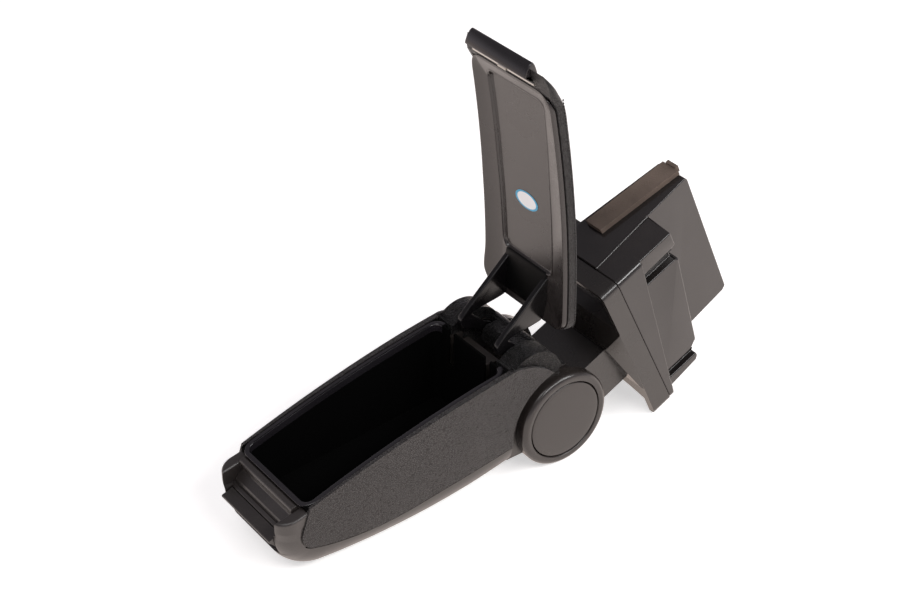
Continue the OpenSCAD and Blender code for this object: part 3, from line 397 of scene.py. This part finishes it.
# Storage tray: one deep black polypropylene moulding with a flocked, light-swallowing inside.
# It drops into the shell, and its rim seats on the upper edges of the side panels.
tray_plastic = moulded("flocked_tray_lining", "#040404", roughness=0.9, grain=0.8, depth=0.02,
                       mottle=0.1, specular=0.04)
rounded_copy("storage_tray", "box", "tray", tray_plastic, radius=0.8)

# Tray lip: the tray's own rim, rolled over the box's edge, is smooth and glossy beside the dull lining.
# Its section is a flat 4 mm band with a round inner edge that catches a bright line of light. It stops
# at the two rear corners, where the lid's bracket passes.
arch_r, arch_y, arch_z = 1120, 102.18, -1039.58


def rim_height(y, lift=0.0):
    """Height of the box's long arch over y: a circle of 1120 mm about a centre far below the box."""
    return arch_z + np.sqrt((arch_r + lift) ** 2 - (y - arch_y) ** 2)


lip_half, lip_front, lip_rear, lip_corner = 45.0, -247.0, -57.0, 9.0
lip_sink = 0.45
longest_step = 4
quarter = np.linspace(0, math.pi / 2, 9)
corner_x = (lip_half - lip_corner) * np.array([-1, -1, 1, 1])
corner_y = np.array([lip_rear - lip_corner, lip_front + lip_corner, lip_front + lip_corner,
                     lip_rear - lip_corner])
heading = np.array([1, 2, -1, 0])[:, None] * math.pi / 2 + quarter
path = np.stack([corner_x[:, None] + lip_corner * np.cos(heading),
                 corner_y[:, None] + lip_corner * np.sin(heading), np.cos(heading), np.sin(heading)], -1)
path = path.reshape(-1, 4)
gone = np.diff(path, axis=0)
steps = np.maximum((np.hypot(gone[:, 0], gone[:, 1]) / longest_step).astype(int), 1)
leg = np.repeat(np.arange(len(steps)), steps)
part = (np.arange(len(leg)) - np.repeat(np.cumsum(steps) - steps, steps)) / steps[leg]
path = path[leg] + gone[leg] * part[:, None]
path[:, 2:] /= np.linalg.norm(path[:, 2:], axis=1)[:, None]
turn = np.linspace(0, math.pi / 2, 5)
lip = np.concatenate([[[-2.3, -7.0]], np.stack([-1.0 - 1.3 * np.cos(turn), -1.35 + 1.3 * np.sin(turn)], 1),
                      [[0.6, 0.02], [1.6, -0.05]], [[2.0, -0.4], [2.0, -1.2], [-1.7, -1.6], [-1.9, -7.0]]])
lip_x = path[:, None, 0] + path[:, None, 2] * lip[None, :, 0]
lip_y = path[:, None, 1] + path[:, None, 3] * lip[None, :, 0]
rings = np.stack([lip_x, lip_y, rim_height(lip_y) - lip_sink + lip[None, :, 1]], -1)
lip_plastic = moulded("glossy_abs_lip", "#1d1b1e", roughness=0.2, grain=3.0, depth=0.01)
keep_piece(loft("tray_lip_rim", rings, lip_plastic, "face"), "box", "tray")


# Side panels: padded panels wrapped in leatherette, an embossed PVC film on a knitted back, and snapped
# into the shell. The pebble grain is about 1 mm across, drawn at 1.5 mm so that it shows, and its creases
# round each cell are duller and darkened with painted shade.
def leatherette(name, colour, pebble=1.5, depth=0.3, roughness=0.36, sheen=0.1, specular=0.32):
    """Embossed film: rounded cells with painted shade darkening their creases, a slower pull of the grain,
    and a satin top coat.
    """
    made, tree = new_material(name)
    where = add_node(tree, "TexCoord")
    pull = add_node(tree, "TexNoise", {"Vector": where.outputs["Object"]}, Scale=1000 / 3, Detail=3.0)
    warp = add_node(tree, "VectorMath", {"0": pull.outputs["Color"]}, operation="SCALE", Scale=0.0012)
    moved = add_node(tree, "VectorMath", {"0": where.outputs["Object"], "1": warp.outputs[0]},
                     operation="ADD")
    cells = add_node(tree, "TexVoronoi", {"Vector": moved.outputs[0]}, feature="DISTANCE_TO_EDGE",
                     Scale=1000 / pebble)
    creases = add_node(tree, "MapRange", {"Value": cells.outputs["Distance"]}, From_Min=0.0, From_Max=0.28,
                       interpolation_type="SMOOTHSTEP")
    fine = add_node(tree, "TexNoise", {"Vector": where.outputs["Object"]}, Scale=1000 / 0.35, Detail=1.0)
    height = add_node(tree, "Math", {"0": fine.outputs["Fac"], "2": creases.outputs[0]},
                      operation="MULTIPLY_ADD")
    height.inputs[1].default_value = 0.25
    slow = add_node(tree, "TexNoise", {"Vector": where.outputs["Object"]}, Scale=1000 / 45, Detail=2.0)
    # Painted shade: the colour is darkest in the creases between the cells, mixed with a slow random tone.
    painted_crease_shade_and_tone = add_node(tree, "Math", {"0": creases.outputs[0], "1": slow.outputs["Fac"]},
                        operation="MULTIPLY")
    tint = add_node(tree, "ValToRGB", {"Fac": painted_crease_shade_and_tone.outputs[0]})
    base = linear(colour)
    tint.color_ramp.elements[0].color = tuple(c * 0.45 for c in base[:3]) + (1,)
    tint.color_ramp.elements[1].position = 0.55
    tint.color_ramp.elements[1].color = tuple(c * 1.1 for c in base[:3]) + (1,)
    bump = add_node(tree, "Bump", {"Height": height.outputs[0]}, Strength=1.0, Distance=depth / 1000)
    blotch = add_node(tree, "Math", {"0": pull.outputs["Fac"], "1": creases.outputs[0]},
                      operation="MULTIPLY")
    sparkle = add_node(tree, "MapRange", {"Value": blotch.outputs[0]}, From_Min=0.05, From_Max=0.6,
                       To_Min=0.6 * specular, To_Max=1.35 * specular)
    shade = add_node(tree, "BsdfPrincipled", {"Base Color": tint.outputs["Color"],
                                              "Normal": bump.outputs[0],
                                              "Specular IOR Level": sparkle.outputs[0]},
                     Roughness=roughness, Sheen_Weight=sheen, Sheen_Roughness=0.5)
    add_node(tree, "OutputMaterial", {"Surface": shade.outputs[0]})
    return made


panel_leather = leatherette("embossed_pvc_side_leatherette", "#282423")
rounded_copy("left_side_panel", "box", "leatherette", panel_leather, radius=1.9)
rounded_copy("right_side_panel", "box", "leatherette", panel_leather, radius=1.9)


# Rear trim and its band: leatherette pulled over the two shoulders behind the tray and over the bar
# between them, and glued under. It is stretched there, so its grain is coarser and shinier. Its colour is
# much darker than the side panels' as painted shade, for the shoulders that lie in shade.
def cut_corners(points, times=2):
    """Rounds a closed outline: each side keeps its points at a quarter and three quarters, over again."""
    points = np.asarray(points, float)
    for _ in range(times):
        after = np.roll(points, -1, 0)
        points = np.stack([0.75 * points + 0.25 * after, 0.25 * points + 0.75 * after], 1).reshape(-1, 2)
    return points


def extruded(outline, x_from, x_to, soft):
    """Rings of one side-view outline from x_from to x_to, drawn in towards its middle by a quarter
    round of radius soft at both ends."""
    turn = np.linspace(0, math.pi / 2, 4)
    inset = soft * (1 - np.sin(turn))
    x = np.concatenate([x_from + soft * (1 - np.cos(turn)), x_to - soft * (1 - np.cos(turn))[::-1]])
    inset = np.concatenate([inset, inset[::-1]])
    after, before = np.roll(outline, -1, 0), np.roll(outline, 1, 0)
    along = after - before
    along /= np.maximum(np.linalg.norm(along, axis=1), 1e-9)[:, None]
    area = 0.5 * np.sum(outline[:, 0] * after[:, 1] - after[:, 0] * outline[:, 1])
    inwards = np.stack([-along[:, 1], along[:, 0]], 1) * np.sign(area)
    flat = outline[None] + inset[:, None, None] * inwards[None]
    return np.concatenate([np.repeat(x[:, None, None], len(outline), 1), flat], -1)


# Painted shade: the trim's leatherette is coloured far darker than the side panels' leatherette.
painted_shade_trim_leather = leatherette("embossed_pvc_trim_film_painted_shade", "#0b0a0a", pebble=2.0, depth=0.5,
                           roughness=0.28, sheen=0.03, specular=0.25)
rounded_copy("rear_trim", "box", "leatherette", painted_shade_trim_leather, radius=2.4)
band_half = 31.0
band = cut_corners([[-14.0, 50.0], [-14.2, 64.9], [-4.6, 64.9], [-4.0, 50.0]], 3)
keep_piece(loft("trim_band", extruded(band, -band_half, band_half, soft=0.5), painted_shade_trim_leather, "face"),
           "box", "leatherette")

# Hub caps: a moulded ring with a rolled front edge, and a plain disc snapped into it.
# Both are satin ABS, and the thin dark gap between them is the only line on the round face.
# Each is a profile of radius and distance out from the middle plane, turned about the hub axis.
cap_r, cap_roll, gap_r, disc_r = 43.5, 4.8, 35.4, 34.7
turn = np.linspace(0, math.pi / 2, 12)
ring_profile = np.concatenate([
    [[cap_r, 43.8], [gap_r, 43.8], [gap_r, 53.2], [gap_r + 0.2, 54.0], [gap_r + 0.7, 54.6]],
    np.stack([cap_r - cap_roll + cap_roll * np.sin(turn), 50.1 + cap_roll * np.cos(turn)], 1),
    [[cap_r, 46.0]]])
edge = np.linspace(0, math.pi / 2, 6)
disc_profile = np.concatenate([
    [[0.0, 49.5], [disc_r, 49.5]],
    np.stack([disc_r - 0.8 + 0.8 * np.cos(edge), 53.4 + 0.8 * np.sin(edge)], 1),
    [[30, 54.35], [22, 54.5], [12, 54.6], [0.0, 54.63]]])
cap_plastic = moulded("satin_abs_cap", "#2b2725", roughness=0.27, grain=0.55, depth=0.010, mottle=0.08)
facets = 192
round_way = np.linspace(0, 2 * math.pi, facets + 1)[:-1]
for side_name, sign in (("left", -1.0), ("right", 1.0)):
    for part_name, profile in (("cap", ring_profile), ("cap_disc", disc_profile)):
        radius, out = profile[:, 0], profile[:, 1]
        rings = np.stack([np.broadcast_to(sign * out, (facets, len(out))),
                          radius * np.cos(round_way)[:, None], radius * np.sin(round_way)[:, None]], -1)
        keep_piece(loft(side_name + "_" + part_name + "_turned", rings, cap_plastic, "round"), "box",
                   "cap", side_name + "_" + part_name)

# Lid cushion: a cut foam pad on a board, wrapped in the same leatherette and stapled under the edge.
# It is crowned across and along, its sides bulge a little, and its four corners pull in. Underneath, a
# pocket as deep as the board takes the liner and the board.
pin_y, pin_z = -21.5, 57.5
open_turn = math.radians(98.5)


def lid_opened(points):
    """Closed lid's place turned about its hinge pin by 98.5 degrees, the pose of the photograph."""
    dy, dz = points[..., 1] - pin_y, points[..., 2] - pin_z
    return np.stack([points[..., 0], dy * math.cos(open_turn) + dz * math.sin(open_turn) + pin_y,
                     dz * math.cos(open_turn) - dy * math.sin(open_turn) + pin_z], -1)


def eased(a, b, n):
    """n values from a to b that crowd towards both ends, for round ends that need close rings."""
    crowding = 2.2
    t = np.linspace(-1, 1, n)
    return a + (b - a) * (0.5 + 0.5 * np.sign(t) * (1 - (1 - np.abs(t)) ** crowding))


lid_taper_from = -150


def lid_width(y, half, tip_half, front, rear, rear_r, front_r):
    """Half width of the lid in plan: parallel sides, a straight taper from 150 mm before the hub to the
    nose, and quarter circles at the four corners."""
    tapered = half - (half - tip_half) * (y - lid_taper_from) / (front + front_r - lid_taper_from)
    width = np.where(y > lid_taper_from, half, tapered)
    nose = np.clip(front + front_r - y, 0, front_r)
    tail = np.clip(y - (rear - rear_r), 0, rear_r)
    nose_width = tip_half - front_r + np.sqrt(front_r ** 2 - nose ** 2)
    tail_width = half - rear_r + np.sqrt(rear_r ** 2 - tail ** 2)
    return np.where(nose > 0, np.minimum(width, nose_width), np.where(tail > 0, tail_width, width))


cushion_plan = dict(front=-284.5, rear=-50, rear_r=15, front_r=17)
cushion_half, cushion_tip = 52.7, 50.4
cushion_top, cushion_low = 19.6, 0.9
nose_round, nose_from = 40, -245.5
tail_round, tail_from = 14, -64
squareness, crown_drop, side_bulge, widest = 0.42, 0.3, 1.1, 53.9
hem_rise, hem_from, hem_over, hem_share = 4.2, -264, 10, 0.94
pocket_rise, pocket_from, pocket_to, pocket_end, pocket_share = 9.5, -263, -52, 3, 0.93
least_top, least_wall = 1.1, 0.2
across_top = 61
y = eased(-279.6, -50.2, 150)
width = lid_width(y, cushion_half, cushion_tip, **cushion_plan)
nose_drop = nose_round - np.sqrt(np.clip(nose_round ** 2 - (y - nose_from) ** 2, 0, None))
tail_drop = tail_round - np.sqrt(np.clip(tail_round ** 2 - (y - tail_from) ** 2, 0, None))
top = cushion_top - np.maximum(np.where(y < nose_from, nose_drop, 0), np.where(y > tail_from, tail_drop, 0))
top = np.clip(top, least_top, None)
turn = np.linspace(-0.5, 0.5, across_top) * math.pi
over_x = np.sign(np.sin(turn)) * np.abs(np.sin(turn)) ** squareness
over_z = np.cos(turn) ** squareness
crown = np.sqrt(1 - crown_drop * over_x ** 2)
under_x = np.array([hem_share, pocket_share, pocket_share])
ring_x = width[:, None] * np.concatenate([over_x, under_x, -under_x[::-1]])
bulge = side_bulge * np.sin(np.pi * over_z) * (width[:, None] > 40)
ring_x[:, :across_top] += np.sign(over_x) * bulge
ring_x = np.clip(ring_x, -widest, widest)
hem = np.clip((y - hem_from) / hem_over, 0, 1)[:, None] * hem_rise + cushion_low
hem = np.minimum(hem, np.clip(top - 1.0, cushion_low, None)[:, None])
pocket = cushion_low + (pocket_rise * np.clip((y - pocket_from) / hem_over, 0, 1)
                        * np.clip((pocket_to - y) / pocket_end, 0, 1))
pocket = np.maximum(pocket[:, None], hem + 0.1)
under = np.minimum(np.concatenate([hem, hem, pocket, pocket, hem, hem], 1),
                   np.clip(top - least_wall, cushion_low, None)[:, None])
ring_lift = np.concatenate([hem + (top[:, None] - hem) * over_z * crown, under], 1)
ring_y = np.repeat(y[:, None], ring_x.shape[1], 1)
rings = np.stack([ring_x, ring_y, rim_height(ring_y, ring_lift)], -1)
cushion_leather = leatherette("embossed_pvc_lid_leatherette", "#1c1a1a", pebble=1.4, depth=0.2,
                              roughness=0.38)
cushion = keep_piece(loft("lid_cushion_cover", lid_opened(rings), cushion_leather), "lid", "leatherette",
                     "lid_cover", "lid_foam")

# Lid liner: a moulded ABS dish that screws over the board and hides the stapled edge of the cover. Its
# borders slope up to a step, and the flat field above it runs down the middle with a groove on its left.
# The satin field mirrors the table evenly, while the sloping borders catch it brighter or darker.
# Rows are close at the field's two ends, columns at its sides and at the rim. A low ridge runs round the
# step, and the edge is a little fuller near the left rear corner.
liner_half, liner_tip, liner_front, liner_rear, liner_last = 52.0, 50.0, -264, -50.6, -52
liner_wall, back_least, back_share = 0.9, 2.9, 0.985
rim_lift, rim_width, border_rise, border_width = 0.6, 2, 3.8, 18.5
edge_roll, roll_over, roll_least = 3.2, 12, 0.15
field_lift, step_width = 6.6, 2.2
field_left, field_right, field_front, field_rear, field_corner = -30.3, 30.8, -253, -95.5, 5.0
left_draw, left_from, left_over = 2.2, -175, 76
right_spread, right_from, right_over = 4.0, -180, 72
ridge_rise, ridge_place, ridge_half = 0.5, 1.6, 0.9
groove_depth, groove_place, groove_half = 2.2, 1.4, 1.0
groove_front, groove_rear, groove_fade = -251, -98, 4
fullness, full_y, full_long, full_from, full_over = 2.2, -66, 13.0, -20, 30
y = np.unique(np.concatenate([eased(liner_front, liner_last, 110), np.linspace(-256, -248, 13),
                              np.linspace(-99, -92, 13)]))
width = lid_width(y, liner_half, liner_tip, liner_front, liner_rear, rear_r=14, front_r=16)
across = np.unique(np.concatenate([np.linspace(-1, 1, 57), np.linspace(-0.68, -0.5, 37),
                                   np.linspace(0.56, 0.74, 25), np.linspace(0.86, 1, 17),
                                   np.linspace(-1, -0.86, 17)]))
x = width[:, None] * across
grid_y = np.repeat(y[:, None], len(across), 1)
end_in = np.minimum(grid_y - (liner_front + rim_width), liner_last - rim_width - grid_y)
rim_in = np.minimum(width[:, None] - rim_width - np.abs(x), end_in)
border = np.clip(rim_in / border_width, 0, 1)
border = rim_lift + border_rise * border * (1.5 - 0.5 * border)
left = field_left + left_draw * np.clip((grid_y - left_from) / left_over, 0, 1)
right = field_right + right_spread * np.clip((right_from - grid_y) / right_over, 0, 1)
dx = np.maximum(left + field_corner - x, x - right + field_corner)
dy = np.maximum(field_front + field_corner - grid_y, grid_y - field_rear + field_corner)
outside = np.hypot(np.clip(dx, 0, None), np.clip(dy, 0, None)) + np.minimum(np.maximum(dx, dy), 0)
outside = outside - field_corner
step = np.clip(0.5 - outside / step_width, 0, 1)
step = step * step * (3 - 2 * step)
ridge = ridge_rise * np.exp(-((outside - ridge_place) / ridge_half) ** 2)
groove_ends = (np.clip((groove_rear - grid_y) / groove_fade, 0, 1)
               * np.clip((grid_y - groove_front) / groove_fade, 0, 1))
groove = groove_depth * np.exp(-((x - left + groove_place) / groove_half) ** 2) * groove_ends
roll = np.clip((y - liner_front) / roll_over, roll_least, 1)[:, None] * edge_roll
inward = np.clip(roll - (width[:, None] - np.abs(x)), 0, roll)
face_lift = border + (field_lift - border) * step - ridge + groove
face_lift = face_lift + roll - np.sqrt(np.clip(roll ** 2 - inward ** 2, 0, None))
back_lift = np.maximum(face_lift + liner_wall, back_least)
near_corner = np.exp(-((grid_y - full_y) / full_long) ** 2)
x = x - fullness * near_corner * np.clip((full_from - x) / full_over, 0, 1) ** 2
ring_x = np.concatenate([x, x[:, ::-1] * back_share], 1)
ring_y = np.concatenate([grid_y, grid_y], 1)
ring_lift = np.concatenate([face_lift, back_lift[:, ::-1]], 1)
rings = np.stack([ring_x, ring_y, rim_height(ring_y, ring_lift)], -1)
liner_plastic = moulded("satin_abs_liner", "#262221", roughness=0.26, grain=0.5, depth=0.006,
                        mottle=0.1, specular=0.55)
keep_piece(loft("lid_liner_plate", lid_opened(rings), liner_plastic, "face"), "lid", "panel", "lid_panel")

# Lid board: a pressed fibre board between the foam and the liner, which takes all the lid's screws.
# It is plain and brown, and drawn only 0.6 mm thick, in the room that the deep liner leaves in the pocket.
board_low, board_high = 9.6, 10.2
board_half, board_tip, board_front, board_rear, board_round = 47.5, 45.5, -256.5, -56.5, 12
y = eased(board_front + 0.5, board_rear - 0.5, 60)
width = lid_width(y, board_half, board_tip, board_front, board_rear, board_round, board_round)
ring_x = width[:, None] * np.array([1, 0.5, 0, -0.5, -1, -1, -0.5, 0, 0.5, 1])
ring_lift = np.repeat(np.array([[board_low] * 5 + [board_high] * 5]), len(y), 0)
ring_y = np.repeat(y[:, None], 10, 1)
rings = np.stack([ring_x, ring_y, rim_height(ring_y, ring_lift)], -1)
board_fibre = moulded("pressed_fibre_board", "#5b4634", roughness=0.8, grain=1.5, depth=0.1)
keep_piece(loft("lid_board_pressed", lid_opened(rings), board_fibre, "face"), "lid", "board", "lid_board")

# Edge stitching: a row of thick bonded-nylon stitches round the cushion's side, about 2.7 mm apart.
# Each stitch is a small bead sunk into the leatherette beside the liner's edge, and only its back shows.
stitch_pitch, stitch_lift = 2.7, 11.0
bead_x, bead_y, bead_z = 0.85, 1.05, 0.5
seam_half, seam_tip, seam_front, seam_rear = 53.7, 51.4, -262, -56
bead_rings, bead_around = 5, 6
walk = np.arange(seam_front, seam_rear, 0.05)
walk_x = lid_width(walk, seam_half, seam_tip, **cushion_plan)
length = np.concatenate([[0], np.cumsum(np.hypot(np.diff(walk), np.diff(walk_x)))])
one_side = np.interp(np.arange(1.0, length[-1], stitch_pitch), length, walk)
stitch_y = np.concatenate([one_side, one_side])
stitch_x = lid_width(stitch_y, seam_half, seam_tip, **cushion_plan)
stitch_x[len(one_side):] *= -1
a, b = np.meshgrid(np.linspace(0, math.pi, bead_rings),
                   np.linspace(0, 2 * math.pi, bead_around + 1)[:-1], indexing="ij")
bead = np.stack([bead_x * np.sin(a) * np.cos(b), bead_y * np.cos(a), bead_z * np.sin(a) * np.sin(b)], -1)
bead = bead.reshape(-1, 3)
centres = np.stack([stitch_x, stitch_y, rim_height(stitch_y, stitch_lift)], -1)
beads = lid_opened((centres[:, None] + bead[None]).reshape(-1, 3)) + (0, hub_y, hub_z)
i, j = np.meshgrid(np.arange(bead_rings - 1), np.arange(bead_around), indexing="ij")
following = (j + 1) % bead_around
quad = np.stack([i * bead_around + j, i * bead_around + following, (i + 1) * bead_around + following,
                 (i + 1) * bead_around + j], -1).reshape(-1, 4)
quads = (quad[None] + len(bead) * np.arange(len(stitch_y))[:, None, None]).reshape(-1, 4)
thread = moulded("bonded_nylon_thread", "#2b2928", roughness=0.45, grain=0.4, depth=0.02)
mesh = bpy.data.meshes.new("cushion_stitches")
mesh.from_pydata(beads / 1000, [], quads.tolist())
mesh.materials.append(thread)
close_mesh(mesh)
keep_piece(bpy.data.objects.new("cushion_stitches", mesh), "lid", "leatherette")

# Hinge bracket: a black glass-filled nylon moulding screwed under the lid's tail. Two hooked arms reach
# round the box's rear edge to the pin, and a flat web ties them together. The arms are glossy; the web is
# the same nylon drawn darker and duller as painted shade, and the four black screws are sunk behind the
# web, because none shows in the photograph.
arm = cut_corners([[-91.5, 73.0], [-60, 73.6], [-54, 70.5], [-50.5, 66.0], [-42, 34], [-38, 41], [-31, 50],
                   [-28.3, 57.5], [-26.5, 62.5], [-21.5, 64.5], [-16.5, 62.5], [-14.5, 57.5],
                   [-16.5, 52.5], [-21.5, 50.5], [-25, 44], [-27, 34], [-30, 27.5], [-36, 25.5],
                   [-41, 27.5], [-90.8, 68.6], [-92.6, 71.0]])
web = cut_corners([[-95.6, 69.0], [-94.6, 66.8], [-91, 66.4], [-66, 68.2], [-56.5, 70.2], [-57, 72.0],
                   [-60, 72.2], [-93, 70.2]])
arm_middle, arm_half, web_half = 24.0, 2.5, 25.5
screw_sink = 6.5
nylon = moulded("glass_filled_nylon", "#0e0d0e", roughness=0.2, grain=5.0, depth=0.01, mottle=0.1,
                specular=0.34)
# Painted shade: the web's nylon is coloured darker and made duller than the arms', for the shaded pocket
# between the arms.
web_nylon_painted_shade = moulded("glass_filled_nylon_web_painted_shade", "#060606", roughness=0.5, grain=0.8, depth=0.02,
                      mottle=0.1, specular=0.1)
screw_steel = moulded("black_oxide_steel", "#121213", roughness=0.3, grain=0.5, depth=0.01)
for side_name, middle in (("left", -arm_middle), ("right", arm_middle)):
    rings = extruded(arm, middle - arm_half, middle + arm_half, soft=0.8)
    keep_piece(loft(side_name + "_bracket_arm", lid_opened(rings), nylon, "face"), "lid", "bracket",
               "lid_bracket")
rings = extruded(web, -web_half, web_half, soft=0.5)
keep_piece(loft("bracket_web", lid_opened(rings), web_nylon_painted_shade, "face"), "lid", "bracket")
screws = rounded_copy("bracket_screws", "lid", "steel", screw_steel, radius=0.2)
screws.data.transform(Matrix.Translation((0, screw_sink / 1000, 0)))

# Latch lever: a rounded ABS grip bar across the lid's nose, on a steel pin with a small spring.
# Fingers lift its front edge to let the lid go. Its smooth black face mirrors the soft boxes.
grip_left, grip_right = -43.5, 30.2
lever = cut_corners([[-267.2, 19.5], [-270, 22.6], [-275, 22.8], [-284.2, 17.6], [-284.4, 14.2],
                     [-279, 11.2], [-273.5, 10.0], [-272.0, 10.4], [-272.0, 16.6], [-271.4, 17.4],
                     [-267.4, 17.4]])
dark_plastic = moulded("smooth_abs_black", "#1a181a", roughness=0.24, grain=0.7, depth=0.008)
keep_piece(loft("latch_grip", lid_opened(extruded(lever, grip_left, grip_right, soft=1.2)), dark_plastic,
                "face"), "latch", "panel", "latch_lever")

# Round label: a small white paper oval with a thin blue rim, stuck on the liner and left blank here.
# Its rim is a ring of colour on the label's own UV map, where the oval is the unit circle.
label_x, label_y0, label_lift = -0.7, -149.3, 6.6
half_long, half_short = np.array([12.6, 3.2]), np.array([6.3, -7.2])
label_paper, tree = new_material("blank_paper_label")
where = add_node(tree, "UVMap", uv_map="label")
radius = add_node(tree, "VectorMath", {"0": where.outputs[0]}, operation="LENGTH")
rim = add_node(tree, "ValToRGB", {"Fac": radius.outputs["Value"]})
rim.color_ramp.interpolation = "EASE"
rim.color_ramp.elements[0].position, rim.color_ramp.elements[0].color = 0.80, linear("#f6f8f9")
rim.color_ramp.elements[1].position, rim.color_ramp.elements[1].color = 0.86, linear("#2aa5d0")
shade = add_node(tree, "BsdfPrincipled", {"Base Color": rim.outputs["Color"]}, Roughness=0.3)
add_node(tree, "OutputMaterial", {"Surface": shade.outputs[0]})
around = np.linspace(0, 2 * math.pi, 65)[:-1]
circles = np.array([1.0, 1.0, 0.86, 0.4, 0.02])
thickness = np.array([0.1, 0.22, 0.24, 0.24, 0.24])
ellipse = np.cos(around)[:, None] * half_long + np.sin(around)[:, None] * half_short
offset = circles[:, None, None] * ellipse
ring_y = label_y0 + offset[..., 1]
ring_z = rim_height(ring_y, label_lift - thickness[:, None])
rings = np.stack([label_x + offset[..., 0], ring_y, ring_z], -1)
label = loft("blank_label", lid_opened(rings), label_paper)
layer = label.data.uv_layers.new(name="label")
corner_of = np.empty(len(label.data.loops), np.int32)
label.data.loops.foreach_get("vertex_index", corner_of)
place = np.empty(len(label.data.vertices) * 3)
label.data.vertices.foreach_get("co", place)
place = place.reshape(-1, 3) * 1000 - (0, hub_y, hub_z)
from_pin_y, from_pin_z = place[:, 1] - pin_y, place[:, 2] - pin_z
closed_y = from_pin_y * math.cos(open_turn) - from_pin_z * math.sin(open_turn) + pin_y
to_unit_circle = np.linalg.inv(np.stack([half_long, half_short]))
flat = np.stack([place[:, 0] - label_x, closed_y - label_y0], 1) @ to_unit_circle
layer.data.foreach_set("uv", flat[corner_of].ravel())
keep_piece(label, "lid", "panel")

# Inner fittings: pins, screws, bolt, nut and spring are zinc-plated steel, drawn and rolled, the bushes
# acetal and the friction discs woven fibre. They are the CAD's own solids and hardly show from outside.
zinc, tree = new_material("zinc_plated_steel")
where = add_node(tree, "TexCoord")
drawn = add_node(tree, "TexNoise", {"Vector": where.outputs["Object"]}, Scale=1000 / 0.5, Detail=2.0)
gloss = add_node(tree, "MapRange", {"Value": drawn.outputs["Fac"]}, To_Min=0.22, To_Max=0.38)
shade = add_node(tree, "BsdfPrincipled", {"Roughness": gloss.outputs[0]}, Base_Color=linear("#b9b6b0"),
                 Metallic=1.0)
add_node(tree, "OutputMaterial", {"Surface": shade.outputs[0]})
bush_plastic = moulded("acetal_bushing", "#c9c4b8", roughness=0.4, grain=0.6, depth=0.01)
friction_fibre = moulded("woven_friction_fibre", "#6b5a48", roughness=0.75, grain=0.8, depth=0.08)
finish_of = {"pivot_bushes": bush_plastic, "friction_discs": friction_fibre}
for name in ("lid_hinge_pin", "pivot_bolt", "pivot_nut", "stop_pin", "bezel_screws", "neck_screws",
             "latch_pin", "latch_spring", "pivot_bushes", "friction_discs"):
    fitting = frame["nodes"][name].data
    fitting.materials.clear()
    fitting.materials.append(finish_of.get(name, zinc))
